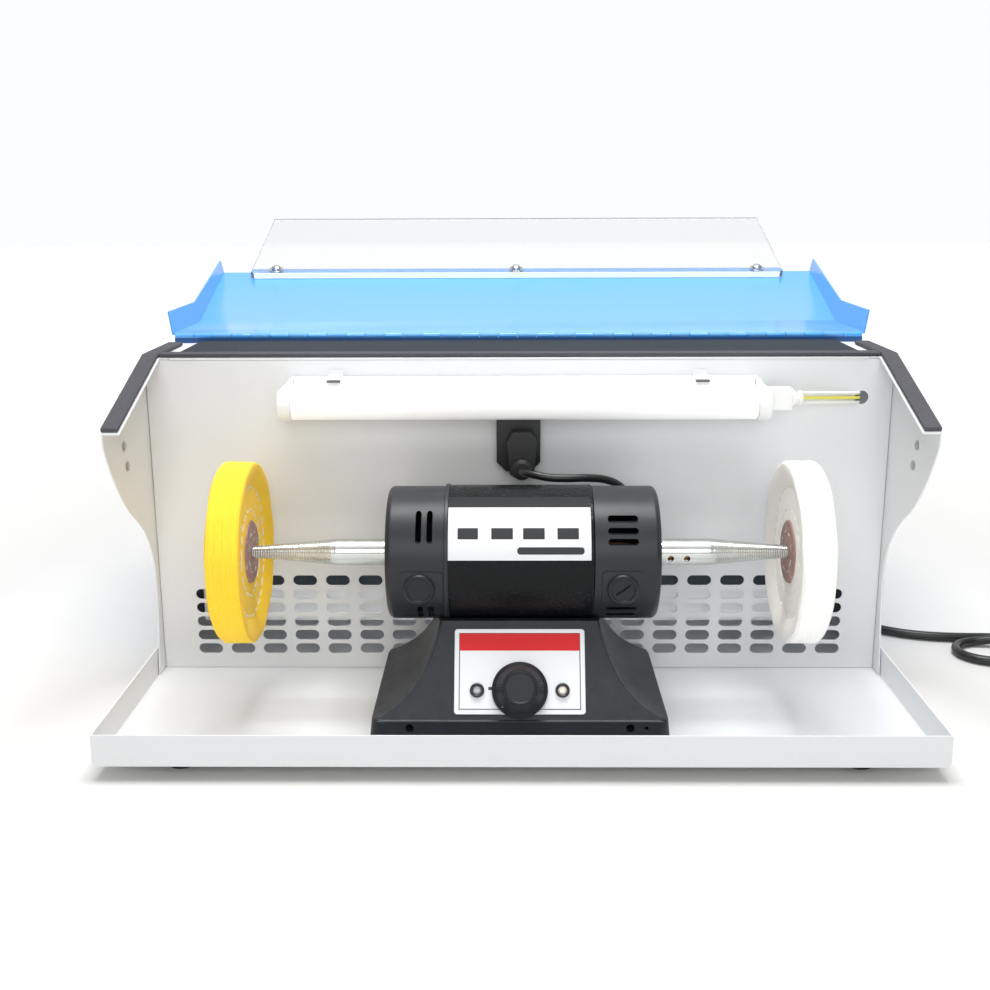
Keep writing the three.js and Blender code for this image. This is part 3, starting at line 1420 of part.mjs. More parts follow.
function mainsPlug() {
  const x = mainsPlugWidth / 2;
  const z = mainsPlugHeight / 2;
  const grip = mainsPlugLength * 0.45;
  const body = lofted([
    [-x, x], [-x * 0.92, x * 0.92], [-x * 0.5, x * 0.5], [-x * 0.36, x * 0.36],
  ].map(([a, b], i) => {
    const y = [-mainsPlugLength, -mainsPlugLength * 0.3, -mainsPlugLength * 0.12, 0][i];
    const h = [z, z, z * 0.75, z * 0.6][i];
    const c = h * 0.45;
    return [[b, y, -h + c], [b, y, h - c], [b - c, y, h], [a + c, y, h], [a, y, h - c], [a, y, -h + c],
      [a + c, y, -h], [b - c, y, -h]];
  }));
  const pins = [-1, 1].map((side) => turnedY([
    [-mainsPlugLength - pinLength, 0], [-mainsPlugLength - pinLength, pinDiameter * 0.3],
    [-mainsPlugLength - pinLength + sheet, pinDiameter / 2], [-grip, pinDiameter / 2], [-grip, 0],
  ], 10).translate(side * pinSpacing / 2, 0, 0));
  const at = coilPoint(coilEnd);
  return join(body, ...pins).translate([at.x, mainsPlugY, z + seat]);
}

// Assembly

const feetX = halfWidth - footInsetX;
const feetY = [['front', footInsetY], ['back', cabinetDepth - footInsetY]];
const sides = [['left', -1], ['right', 1]];

add('tray', tray(), paint.white);
feetY.forEach(([where, y]) => sides.forEach(([side, k]) => {
  add(`cabinet_foot_${where}_${side}`, foot(k * feetX, y), paint.rubber);
}));
add('side_panel_right', cheek(), paint.white);
add('side_panel_left', mirrored(cheek()), paint.white);
add('edge_strip_right', edgeStrip(), paint.foam);
add('edge_strip_left', mirrored(edgeStrip()), paint.foam);
add('top_edge_strip', topEdgeStrip(), paint.foam);
add('grille_panel', grillePanel(), paint.white);
add('rear_wall', rearWall(), paint.white);
add('fan_shelf', fanShelf(), paint.white);
add('fan_frame', fanFrame(), paint.black);
add('fan_rotor', fanRotor(), paint.black);
add('filter_foam', filterFoam(), paint.foam);

const lampSpan = [lampLeft + lampCapLength + seat, lampRight - lampCapLength - seat];
add('lamp_housing', lampChannel(...lampSpan), paint.white);
add('lamp_diffuser', lampDiffuser(...lampSpan, 0), paint.opal);
add('lamp_end_cap_left', lampEndCap(-1), paint.opal);
add('lamp_end_cap_right', lampEndCap(1), paint.opal);
add('lamp_plug', lampPlug(), paint.opal);
add('lamp_wires', lampWires(), paint.opal);
add('outlet_socket', outletSocket(), paint.black);
add('lathe_plug', lathePlug(), paint.black);

add('hinge_fixed_leaf', hingeFixedLeaf(), paint.lidBlue);
add('hinge_moving_leaf', hingeMovingLeaf(), paint.lidBlue);
add('lid_panel', lidPanel(), paint.lidBlue);
add('visor', visor(), paint.clear, flapFrame);

add('switch_frame', switchFrame(), paint.black);
add('switch_rocker', switchRocker(), paint.black);
add('cord_gland', cordGland(), paint.rubber);

add('motor_drum', motorDrum(), paint.crinkle);
add('end_cap_left', endCapLeft(), paint.black);
add('end_cap_right', endCapRight(), paint.black);
add('brush_cap_left', brushCap(leftFace + leftBrushX), paint.black);
add('brush_cap_right', brushCap(rightFace + rightBrushX), paint.black);
add('stator', stator(), paint.steel);
add('bearing_left', bearing(leftEnd + capWall + seat), paint.steel);
add('bearing_right', bearing(rightEnd - capWall - seat - bearingWidth), paint.steel);
add('armature', armature(), paint.copper);
const onAxis = new THREE.Group();
onAxis.position.set(0, axisY, axisZ);
nodes.add(onAxis);
const rightStart = rightEnd + seat;
const leftStart = -leftEnd + seat;
add('spindle_right', spindle(rightStart), paint.zinc, onAxis);
add('spindle_left', mirrored(spindle(leftStart).rotate([180, 0, 0])), paint.zinc, onAxis);
add('buff_white', buff(rightStart), paint.cotton, onAxis);
add('buff_yellow', mirrored(buff(leftStart)), paint.yellow, onAxis);

add('base_housing', baseHousing(), paint.black);
sides.forEach(([side, k]) => [['front', -1], ['back', 1]].forEach(([where, j]) => {
  const x = k * (baseWidth / 2 - latheFootInset);
  const y = axisY + j * (baseDepth / 2 - latheFootInset);
  const z = floorZ + seat;
  const footPiece = rodZ(z, z + latheFootHeight, latheFootRadius, 12).translate(x, y, 0);
  add(`lathe_foot_${where}_${side}`, footPiece, paint.rubber);
}));
add('control_plate', controlPlate(), paint.plate);
add('potentiometer', potentiometer(), paint.steel);
sides.forEach(([side, k]) => add(`indicator_${side}`, indicator(k), paint.black));
add('speed_knob', speedKnob(), paint.black);
add('lathe_cord_relief', cordRelief(), paint.rubber);

add('lathe_cord', tube(latheCordRoute, lathePlugCordDiameter / 2, 44), paint.rubber);
add('mains_cord', tube(mainsCordRoute, mainsDiameter / 2, 84), paint.rubber);
add('mains_coil', mainsCoil(), paint.rubber);
add('mains_cord_end', mainsTail(), paint.rubber);
add('mains_plug', mainsPlug(), paint.rubber);

// The origin stands on the table under the middle of everything but the mains lead

const leadNames = ['mains_cord', 'mains_coil', 'mains_cord_end', 'mains_plug'];
const box = new THREE.Box3();
nodes.updateMatrixWorld(true);
nodes.traverse((piece) => {
  if (piece.isMesh && !leadNames.includes(piece.name)) box.union(new THREE.Box3().setFromObject(piece, true));
});
const middle = box.getCenter(new THREE.Vector3());
nodes.position.set(-middle.x, -middle.y, 0);

export default nodes;
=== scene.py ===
"""A bench buffer in its dust cabinet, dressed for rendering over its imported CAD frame.

Lengths are typed in millimetres of the cabinet: x to the right, y back from the tray's front lip and z up from the
table. placed() puts such points into the frame, which is in metres.
"""
import json
import math

import bmesh
import bpy
import numpy as np
from mathutils import Matrix, Vector


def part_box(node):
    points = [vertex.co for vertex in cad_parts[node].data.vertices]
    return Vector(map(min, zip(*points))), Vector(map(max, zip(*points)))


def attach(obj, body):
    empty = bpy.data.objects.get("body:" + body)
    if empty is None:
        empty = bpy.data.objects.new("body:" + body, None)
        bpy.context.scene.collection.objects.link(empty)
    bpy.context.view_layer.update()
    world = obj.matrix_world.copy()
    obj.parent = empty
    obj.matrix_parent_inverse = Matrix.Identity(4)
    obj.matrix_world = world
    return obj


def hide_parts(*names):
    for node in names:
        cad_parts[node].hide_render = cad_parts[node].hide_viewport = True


bl_info = {
    "name": "Bench buffer in its cabinet",
    "version": (1, 0, 0),
    "blender": (4, 5, 0),
    "location": "View3D > Sidebar > Bench Buffer",
    "description": "Dresses the packed frame of a bench buffer with smooth pieces, cords and finishes",
    "category": "Object",
}

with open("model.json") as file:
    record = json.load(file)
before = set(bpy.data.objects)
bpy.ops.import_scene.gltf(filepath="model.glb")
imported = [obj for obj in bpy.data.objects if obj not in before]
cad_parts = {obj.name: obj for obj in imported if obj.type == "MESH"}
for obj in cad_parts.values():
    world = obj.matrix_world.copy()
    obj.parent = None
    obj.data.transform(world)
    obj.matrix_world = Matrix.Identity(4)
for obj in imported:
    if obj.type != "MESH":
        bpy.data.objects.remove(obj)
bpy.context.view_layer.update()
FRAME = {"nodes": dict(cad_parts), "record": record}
NODES = FRAME["nodes"]
SLOTS = {entry["slot"]: entry for entry in FRAME["record"]["materials"]}
MM = 0.001
TAU = 2 * math.pi
LIP = np.array([0.0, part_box("tray")[0][1], 0.0])
CABINET, LID, ROTOR, KNOB = "cabinet", "lid", "rotor", "knob"

# Columns of (outline a, outline b, level) that make x, y and z
RAISED, RUN_BACK, RUN_ACROSS = (0, 1, 2), (0, 2, 1), (2, 0, 1)


def placed(points):
    """Points of the cabinet, in millimetres from its front lip, as points of the frame in metres."""
    return np.asarray(points, float) * MM + LIP


def span(node):
    """The lowest and highest corners of a CAD node, in cabinet millimetres."""
    return tuple((np.array(corner) - LIP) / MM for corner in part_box(node))


# Places that the pieces share, in cabinet millimetres

PANEL = span("grille_panel")
CHEEK = span("side_panel_right")
WALL = span("rear_wall")
DRUM = span("motor_drum")
AXIS = (DRUM[0] + DRUM[1]) / 2
AXLE = (0.0, AXIS[1], AXIS[2])
DRUM_RADIUS = 36.0
BASE = span("base_housing")
SHEET = 1.0
BORDER = 0.12                         # width of the sloping edge of a thin curved plate
SLOPE = math.radians(18.6)            # of the hood and of the lid's flap
LID_BEND = np.array([0.0, 272.4, 202.1])
SKIRT_TOP = 25.0
FLARE_TOP = 70.0
FLARE_INSET = 2.0
FLARE_HEAD_DEPTH = 52.0
FLARE_HEAD_WIDTH = 83.0
FLARE_NECK_SHARES = ((0.46, 0.16), (0.17, 0.49))
FACE_Z = 46.8
FACE_TILT = math.atan2((BASE[1][1] - BASE[0][1]) / 2 - FLARE_INSET - FLARE_HEAD_DEPTH / 2, FLARE_TOP - SKIRT_TOP)
FACE_Y = BASE[0][1] + FLARE_INSET + (FACE_Z - SKIRT_TOP) * math.tan(FACE_TILT)


def colour_of(slot):
    """The base colour that the record gives a material slot."""
    return tuple(SLOTS[slot]["base_color"])


# Settings that a user would change

class FinishSettings(bpy.types.PropertyGroup):
    """Colours and surface of the painted pieces and of the cloth."""

    cabinet: bpy.props.FloatVectorProperty(
        name="Cabinet paint", description="Powder coat of the tray, cheeks and panels",
        subtype="COLOR", min=0, max=1, default=colour_of("cabinet_paint"))
    lid: bpy.props.FloatVectorProperty(
        name="Lid paint", description="Light blue enamel of the lid",
        subtype="COLOR", min=0, max=1, default=colour_of("lid_paint"))
    yellow: bpy.props.FloatVectorProperty(
        name="Left buff", description="Dyed cotton of the left buff",
        subtype="COLOR", min=0, max=1, default=colour_of("yellow_cotton"))
    white: bpy.props.FloatVectorProperty(
        name="Right buff", description="Bleached cotton of the right buff",
        subtype="COLOR", min=0, max=1, default=colour_of("white_cotton"))
    banner: bpy.props.FloatVectorProperty(
        name="Banner", description="Bare band across the control plate",
        subtype="COLOR", min=0, max=1, default=(0.72, 0.02, 0.025))
    peel: bpy.props.FloatProperty(
        name="Orange peel", description="Depth of the powder coat's texture", subtype="DISTANCE",
        unit="LENGTH", min=0, max=0.001, default=0.00005)


class BuffSettings(bpy.types.PropertyGroup):
    """Sizes of the stitched cotton buffs."""

    radius: bpy.props.FloatProperty(
        name="Radius", description="Radius of a buff", subtype="DISTANCE", unit="LENGTH",
        min=0.02, max=0.1, default=0.0491)
    plies: bpy.props.IntProperty(
        name="Plies", description="Layers of cotton that show on the rim", min=4, max=40, default=16)
    fray: bpy.props.FloatProperty(
        name="Fray", description="How far the cut edge of a ply stands in or out", subtype="DISTANCE",
        unit="LENGTH", min=0, max=0.003, default=0.0003)
    outer_stitch: bpy.props.FloatProperty(
        name="Outer stitch", description="Radius of the outer ring of stitches", subtype="DISTANCE",
        unit="LENGTH", min=0.01, max=0.1, default=0.035)
    inner_stitch: bpy.props.FloatProperty(
        name="Inner stitch", description="Radius of the inner ring of stitches", subtype="DISTANCE",
        unit="LENGTH", min=0.01, max=0.1, default=0.023)


class CordSettings(bpy.types.PropertyGroup):
    """Lengths and thicknesses of the two free cords."""

    mains_length: bpy.props.FloatProperty(
        name="Mains lead", description="Real length of the mains lead up to its plug", unit="LENGTH",
        min=0.3, max=5, default=1.81)
    mains_diameter: bpy.props.FloatProperty(
        name="Mains thickness", description="Diameter of the mains lead", unit="LENGTH",
        min=0.002, max=0.02, default=0.0058)
    lathe_length: bpy.props.FloatProperty(
        name="Machine cord", description="Real length of the cord from the outlet to the base", unit="LENGTH",
        min=0.05, max=2, default=0.146)
    lathe_diameter: bpy.props.FloatProperty(
        name="Machine cord thickness", description="Diameter of the cord from the outlet to the base",
        unit="LENGTH", min=0.002, max=0.02, default=0.0044)


class StageSettings(bpy.types.PropertyGroup):
    """Camera lens and light of the studio."""

    lens: bpy.props.FloatProperty(
        name="Lens", description="Focal length on a sensor 36 mm wide", min=20, max=200, default=45.104)
    back: bpy.props.FloatProperty(
        name="Back light", description="Strength of the white surroundings behind the object", min=0, max=5,
        default=0.95)
    front: bpy.props.FloatProperty(
        name="Front light", description="Strength of the surroundings in front of the object", min=0, max=5,
        default=0.3)
    softbox: bpy.props.FloatProperty(
        name="Softbox", description="Power of the softbox above the front, in watts", min=0, max=200, default=3.0)
    top: bpy.props.FloatProperty(
        name="Top light", description="Power of the light overhead, in watts", min=0, max=200, default=20)
    fill: bpy.props.FloatProperty(
        name="Fill", description="Power of the soft light near the camera, in watts", min=0, max=200, default=5.2)
    glow: bpy.props.FloatProperty(
        name="Chamber glow", description="Power of the light that stands for daylight in the chamber, in watts",
        min=0, max=5, default=0.2)


# Curves and surfaces worked out with numpy

def bezier(start, first, second, end, steps=20):
    """A cubic curve: each point is the sum of the four control points weighted by Bernstein's cubic terms."""
    t = np.linspace(0, 1, steps + 1)[:, None]
    weights = [(1 - t) ** 3, 3 * t * (1 - t) ** 2, 3 * t ** 2 * (1 - t), t ** 3]
    return sum(w * np.asarray(p, float) for w, p in zip(weights, (start, first, second, end)))


def filleted(points, radius, closed=True, steps=5):
    """A polyline whose corners are arcs: each arc swings from one tangent point to the other about a centre on
    the corner's bisector."""
    points = np.asarray(points, float)
    radii = np.broadcast_to(radius, len(points))
    rows = []
    for i, here in enumerate(points):
        if radii[i] == 0 or (not closed and i in (0, len(points) - 1)):
            rows.append(here[None])
            continue
        before, after = points[i - 1] - here, points[(i + 1) % len(points)] - here
        lengths = np.linalg.norm(before), np.linalg.norm(after)
        before, after = before / lengths[0], after / lengths[1]
        half = math.acos(np.clip(before @ after, -1, 1)) / 2
        reach = min(radii[i] / math.tan(half), lengths[0] * 0.49, lengths[1] * 0.49)
        middle = (before + after) / np.linalg.norm(before + after) * reach / math.cos(half)
        sweep = math.pi - 2 * half
        t = np.linspace(0, 1, steps + 1)[:, None]
        start, end = before * reach - middle, after * reach - middle
        rows.append(here + middle + (np.sin((1 - t) * sweep) * start + np.sin(t * sweep) * end) / math.sin(sweep))
    return np.vstack(rows)


def rectangle(half_width, half_height, corner=0.0, centre=(0.0, 0.0), steps=5):
    """A rectangle about a centre, with round corners, anticlockwise."""
    signs = np.array([(1, 1), (-1, 1), (-1, -1), (1, -1)], float)
    return filleted(signs * (half_width, half_height), corner, steps=steps) + np.asarray(centre)


def oblong(x0, x1, y0, y1):
    """The outline of a square-cornered plate between two pairs of edges, anticlockwise."""
    return [(x0, y0), (x1, y0), (x1, y1), (x0, y1)]


def round_steps(count):
    """Equal steps of angle round a full turn."""
    return np.arange(count) / count * TAU


def smooth_step(share):
    """A rise from 0 to 1 that starts and ends level, 3 s^2 - 2 s^3, held level beyond."""
    share = np.clip(share, 0, 1)
    return share ** 2 * (3 - 2 * share)


def swung(outline, angle):
    """An outline turned about the origin."""
    c, s = math.cos(angle), math.sin(angle)
    return outline @ np.array([(c, s), (-s, c)])


def ring_of(radius, sides, centre):
    """A regular polygon about a centre: (cos, sin) of equal steps of angle."""
    angle = round_steps(sides)
    return np.stack([np.cos(angle), np.sin(angle)], 1) * radius + np.asarray(centre)


def grid(rows, columns, wrap_rows=False, wrap_columns=True):
    """The quads of a grid of points, row by row, closed on itself where it wraps."""
    i = np.arange(rows if wrap_rows else rows - 1)
    j = np.arange(columns if wrap_columns else columns - 1)
    i, j = (a.ravel() for a in np.meshgrid(i, j, indexing="ij"))
    down, right = (i + 1) % rows, (j + 1) % columns
    return np.stack([i * columns + j, i * columns + right, down * columns + right, down * columns + j], 1)


def slab(outline, low, high, edge, turn=RAISED):
    """A plate: an outline run from one level to another. Along each rim the outline moves in by
    edge * (1 - sin t) while its level moves by edge * (1 - cos t)."""
    outline = np.asarray(outline, float)
    area = np.sum(outline[:, 0] * np.roll(outline[:, 1], -1) - outline[:, 1] * np.roll(outline[:, 0], -1))
    if area < 0:
        outline = outline[::-1]
    side = np.roll(outline, -1, 0) - outline
    side = side / np.linalg.norm(side, axis=1, keepdims=True)
    after = np.stack([side[:, 1], -side[:, 0]], 1)
    before = np.roll(after, 1, 0)
    mitre = (before + after) / (1 + np.sum(before * after, 1, keepdims=True))
    t = np.linspace(0, math.pi / 2, 4)
    inset, rise = edge * (1 - np.sin(t)), edge * (1 - np.cos(t))
    insets = np.concatenate([inset, inset[::-1]])
    levels = np.concatenate([low + rise, high - rise[::-1]])
    rings = outline[None] - mitre[None] * insets[:, None, None]
    rings = np.dstack([rings, np.broadcast_to(levels[:, None], rings.shape[:2])])
    count = len(outline)
    caps = [np.arange(count)[::-1], (len(levels) - 1) * count + np.arange(count)]
    faces = grid(len(levels), count).tolist() + [cap.tolist() for cap in caps]
    return rings.reshape(-1, 3)[:, turn], faces


def turned(profile, sides, axis, centre, ripple=None):
    """A profile of (along, radius) turned about an axis: across are radius * cos a and radius * sin a. ripple adds
    to the radius, as a function of the distance along and the angle. A radius of 0 closes an end."""
    along, radius = np.asarray(profile, float).T[:, :, None]
    angle = round_steps(sides)
    if ripple is not None:
        radius = radius + ripple(along, angle[None]) * (radius > 0)
    parts = {"along": np.broadcast_to(along, (len(along), sides)),
             "cos": radius * np.cos(angle), "sin": radius * np.sin(angle)}
    order = {"x": ("along", "cos", "sin"), "y": ("cos", "along", "sin"), "z": ("cos", "sin", "along")}[axis]
    points = np.stack([parts[key] for key in order], -1).reshape(-1, 3) + np.asarray(centre, float)
    return points, grid(len(along), sides).tolist()


def rod(start, end, radius, sides, axis, centre):
    """A closed cylinder from one distance along an axis to another."""
    return turned([(start, 0), (start, radius), (end, radius), (end, 0)], sides, axis, centre)


def torus_of(profile, sides, axis, centre, ripple=None):
    """A closed profile of (along, radius) turned about an axis, so that it meets itself."""
    points = turned(profile, sides, axis, centre, ripple)[0]
    return points, grid(len(profile), sides, wrap_rows=True).tolist()


def drum_patch(x, angle, low, high, corner, steps):
    """A thin curved plate on a drum about the X axis: a grid over x and the angle above the horizon at the front.
    Near its ends each row is drawn in by corner - sqrt(corner^2 - d^2). A narrow border comes down to the low
    radius."""
    def shares(count, run):
        return np.concatenate([[0], np.linspace(BORDER / run, 1 - BORDER / run, count + 1), [1]])
    arc = (angle[1] - angle[0]) * high
    v = shares(steps[1], arc)
    depth = np.clip(corner - np.minimum(v, 1 - v) * arc, 0, corner)
    inset = corner - np.sqrt(np.maximum(corner ** 2 - depth ** 2, 0))
    u = shares(steps[0], x[1] - x[0]) * 2 - 1
    half = (x[1] - x[0]) / 2 - inset
    across = (x[0] + x[1]) / 2 + u[None] * half[:, None]
    turn = (angle[0] + (angle[1] - angle[0]) * v)[:, None] * np.ones_like(across)
    top = np.full_like(across, high)
    top[[0, -1], :] = low
    top[:, [0, -1]] = low
    layers = [np.stack([across, AXIS[1] - r * np.cos(turn), AXIS[2] + r * np.sin(turn)], -1).reshape(-1, 3)
              for r in (top, np.full_like(across, low))]
    faces = grid(len(v), len(u), wrap_columns=False)
    return np.vstack(layers), np.vstack([faces, faces[:, ::-1] + len(layers[0])]).tolist()


def smooth_route(points, per_span=12):
    """The centripetal Catmull-Rom curve through a list of points: mixes of mixes of neighbouring points, with knots
    spaced by the square root of each chord."""
    p = np.asarray(points, float)
    p = np.vstack([2 * p[0] - p[1], p, 2 * p[-1] - p[-2]])
    knots = np.concatenate([[0], np.cumsum(np.sqrt(np.linalg.norm(np.diff(p, axis=0), axis=1)))])
    spans = len(p) - 3
    t0, t1, t2, t3 = (knots[i:spans + i][:, None] for i in range(4))
    p0, p1, p2, p3 = (p[i:spans + i][:, None] for i in range(4))
    t = t1 + (t2 - t1) * np.linspace(0, 1, per_span, endpoint=False)

    def mix(a, b, start, end):
        share = ((t - start) / (end - start))[..., None]
        return a * (1 - share) + b * share

    first, second, third = mix(p0, p1, t0, t1), mix(p1, p2, t1, t2), mix(p2, p3, t2, t3)
    curve = mix(mix(first, second, t0, t2), mix(second, third, t1, t3), t1, t2)
    return np.vstack([curve.reshape(-1, 3), p[-2:-1]])


def capsules(starts, ends, radius):
    """Short threads with round ends, one from each start to each end: circles of radius * sin t whose centres run
    along the thread, carried in one array for all threads."""
    rings, sides = 4, 6
    starts, ends = np.asarray(starts, float), np.asarray(ends, float)
    way = ends - starts
    length = np.linalg.norm(way, axis=1, keepdims=True)
    way = way / length
    helper = np.where(np.abs(way[:, :1]) > 0.9, [[0.0, 1.0, 0.0]], [[1.0, 0.0, 0.0]])
    side = np.cross(way, helper)
    side /= np.linalg.norm(side, axis=1, keepdims=True)
    other = np.cross(way, side)
    t = np.linspace(0, math.pi / 2, rings)
    along = np.concatenate([-radius * np.cos(t), radius * np.cos(t[::-1])])
    reach = np.repeat([0.0, 1.0], rings)
    wide = np.concatenate([np.sin(t), np.sin(t[::-1])]) * radius
    angle = round_steps(sides)
    centre = starts[:, None] + way[:, None] * (along[None, :, None] + reach[None, :, None] * length[:, None])
    spoke = side[:, None] * np.cos(angle)[None, :, None] + other[:, None] * np.sin(angle)[None, :, None]
    points = centre[:, :, None] + spoke[:, None] * wide[None, :, None, None]
    every = grid(2 * rings, sides)[None] + (np.arange(len(starts)) * 2 * rings * sides)[:, None, None]
    return points.reshape(-1, 3), every.reshape(-1, 4).tolist()


def together(*shapes):
    """Several shapes as one: their points stacked and their faces renumbered."""
    points, faces, shift = [], [], 0
    for vertices, quads in shapes:
        points.append(vertices)
        faces.extend([[index + shift for index in face] for face in quads])
        shift += len(vertices)
    return np.vstack(points), faces


def moved(shape, matrix, offset):
    """A shape turned by a matrix of three columns and then shifted."""
    points, faces = shape
    return points @ np.asarray(matrix, float).T + offset, faces


def mirrored(shape):
    """A shape reflected in the plane x = 0, with its faces turned round."""
    points, faces = shape
    return points * (-1, 1, 1), [face[::-1] for face in faces]


def sided(side, *shapes):
    """Right-hand shapes as they are, or mirrored for the left side."""
    return [mirrored(shape) for shape in shapes] if side == "left" else list(shapes)


def round_axle(x, radius, angle):
    """Points at a distance along the axle, a radius from it and an angle round it."""
    y, z = AXIS[1] + radius * np.cos(angle), AXIS[2] + radius * np.sin(angle)
    return np.stack([np.broadcast_to(x, y.shape), y, z], -1)


def on_face(shape):
    """Puts a shape made with x across, y up the plate and z out of it on the sloping front of the base."""
    s, c = math.sin(FACE_TILT), math.cos(FACE_TILT)
    return moved(shape, [[1, 0, 0], [0, s, -c], [0, c, s]], (0, FACE_Y, FACE_Z))


def on_flap(shape):
    """Puts a shape made with x across, y along the lid's flap and z up from it on the open lid."""
    s, c = math.sin(SLOPE), math.cos(SLOPE)
    return moved(shape, [[1, 0, 0], [0, c, -s], [0, s, c]], LID_BEND)


# Objects

def in_scene(name, data):
    """An object of some data, linked to the scene."""
    item = bpy.data.objects.new(name, data)
    bpy.context.scene.collection.objects.link(item)
    return item


def made(name, *shapes):
    """One mesh object of closed shells in cabinet millimetres, its doubles merged and its faces outwards."""
    points, faces = together(*shapes)
    mesh = bpy.data.meshes.new(name)
    mesh.from_pydata(placed(points).tolist(), [], faces)
    shell = bmesh.new()
    shell.from_mesh(mesh)
    bmesh.ops.remove_doubles(shell, verts=shell.verts, dist=2e-7)
    bmesh.ops.dissolve_degenerate(shell, edges=shell.edges, dist=1e-8)
    bmesh.ops.recalc_face_normals(shell, faces=shell.faces)
    shell.to_mesh(mesh)
    shell.free()
    return in_scene(name, mesh)


def copy_of(node, name):
    """A copy of a CAD node with its loose triangles merged and its flat faces joined."""
    source = NODES[node].data
    points = np.empty(len(source.vertices) * 3)
    source.vertices.foreach_get("co", points)
    corners = np.empty(len(source.loops), int)
    source.loops.foreach_get("vertex_index", corners)
    mesh = bpy.data.meshes.new(name)
    mesh.from_pydata(points.reshape(-1, 3).tolist(), [], corners.reshape(-1, 3).tolist())
    shell = bmesh.new()
    shell.from_mesh(mesh)
    bmesh.ops.remove_doubles(shell, verts=shell.verts, dist=1e-6)
    bmesh.ops.dissolve_limit(shell, angle_limit=math.radians(0.5), verts=shell.verts, edges=shell.edges)
    shell.to_mesh(mesh)
    shell.free()
    return in_scene(name, mesh)


def settled(item):
    """Applies an object's modifiers, so that its mesh is the finished one."""
    bpy.context.view_layer.update()
    result = bpy.data.meshes.new_from_object(item.evaluated_get(bpy.context.evaluated_depsgraph_get()))
    item.modifiers.clear()
    item.data = result
    return item


def cut_from(item, *shapes):
    """Cuts closed shapes out of an object."""
    tool = made(item.name + "_tool", *shapes)
    modifier = item.modifiers.new("cut", "BOOLEAN")
    modifier.operation, modifier.solver, modifier.object = "DIFFERENCE", "EXACT", tool
    settled(item)
    bpy.data.objects.remove(tool)
    return item


def eased(item, width, segments=2, angle=28.0):
    """Rounds an object's sharp edges by a width in millimetres."""
    modifier = item.modifiers.new("ease", "BEVEL")
    modifier.width, modifier.segments = width * MM, segments
    modifier.limit_method, modifier.angle_limit = "ANGLE", math.radians(angle)
    return settled(item)


def dressed(item, material, body=CABINET, stands_for=(), smooth=32.0):
    """Gives an object its material and shading, and ties it to its body and CAD nodes."""
    item.data.materials.clear()
    item.data.materials.append(material)
    item.data.shade_smooth()
    item.data.set_sharp_from_angle(angle=math.radians(smooth))
    item.modifiers.new("even", "WEIGHTED_NORMAL").keep_sharp = True
    settled(item)
    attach(item, body)
    if stands_for:
        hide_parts(*stands_for)
    return item


def eased_copy(node, width, material, body=CABINET, segments=2):
    """A CAD node's own shape with rounded edges, which stands for it."""
    item = eased(copy_of(node, node + "_finished"), width, segments)
    return dressed(item, material, body, (node,))


def painted(material, *nodes):
    """Gives CAD nodes that stay as they are a material."""
    for node in nodes:
        NODES[node].data.materials.clear()
        NODES[node].data.materials.append(material)


# Node groups that the materials share

class Tree:
    """Adds nodes to a node tree, with their inputs set or linked."""

    def __init__(self, tree):
        self.tree = tree

    def add(self, kind, inputs=None, **settings):
        """A node of a kind, with its inputs by number or name."""
        node = self.tree.nodes.new(kind if kind.startswith("Node") else "ShaderNode" + kind)
        for key, value in settings.items():
            setattr(node, key, value)
        for key, value in (inputs or {}).items():
            if isinstance(value, bpy.types.NodeSocket):
                self.tree.links.new(value, node.inputs[key])
            else:
                node.inputs[key].default_value = value
        return node

    def use(self, group, **inputs):
        """The outputs of a node that places a group, with underscores in the input names read as spaces."""
        named = {key.replace("_", " "): value for key, value in inputs.items()}
        return self.add("Group", named, node_tree=group).outputs

    def maths(self, operation, *values):
        """The result of a Math node on numbers or sockets."""
        return self.add("Math", dict(enumerate(values)), operation=operation).outputs[0]

    def noise(self, vector, scale, detail, roughness=0.5):
        """The value of a noise; more roughness gives its finer octaves more weight."""
        inputs = {"Vector": vector, "Scale": scale, "Detail": detail, "Roughness": roughness}
        return self.add("TexNoise", inputs).outputs[0]

    def ramp(self, value, low, high, first=0.0, last=1.0):
        """A value brought from low..high to first..last, and held level beyond."""
        return self.add("MapRange", {0: value, 1: low, 2: high, 3: first, 4: last}).outputs[0]

    def blend(self, share, first, second):
        """A mix of two colours."""
        return self.add("Mix", {0: share, 6: first, 7: second}, data_type="RGBA").outputs[2]


def group(name, inputs, outputs, fill):
    """A node group with named sockets, built once; fill adds what is inside."""
    if name in bpy.data.node_groups:
        return bpy.data.node_groups[name]
    tree = bpy.data.node_groups.new(name, "ShaderNodeTree")
    for label, kind, default in inputs:
        socket = tree.interface.new_socket(label, in_out="INPUT", socket_type="NodeSocket" + kind)
        if default is not None:
            socket.default_value = default
    for label, kind in outputs:
        tree.interface.new_socket(label, in_out="OUTPUT", socket_type="NodeSocket" + kind)
    make = Tree(tree)
    source = make.add("NodeGroupInput").outputs
    result = make.add("NodeGroupOutput").inputs
    for label, socket in fill(make, source).items():
        tree.links.new(socket, result[label])
    return tree


def moulded_grain():
    """Height of a fine grain: one noise with a finer one on it."""
    def fill(make, source):
        coarse = make.noise(source["Vector"], source["Scale"], 2.0)
        fine = make.noise(source["Vector"], make.maths("MULTIPLY", source["Scale"], 3.7), 1.0)
        return {"Height": make.maths("ADD", coarse, make.maths("MULTIPLY", fine, 0.4))}
    return group("Moulded grain", [("Vector", "Vector", None), ("Scale", "Float", 1000.0)], [("Height", "Float")],
                 fill)


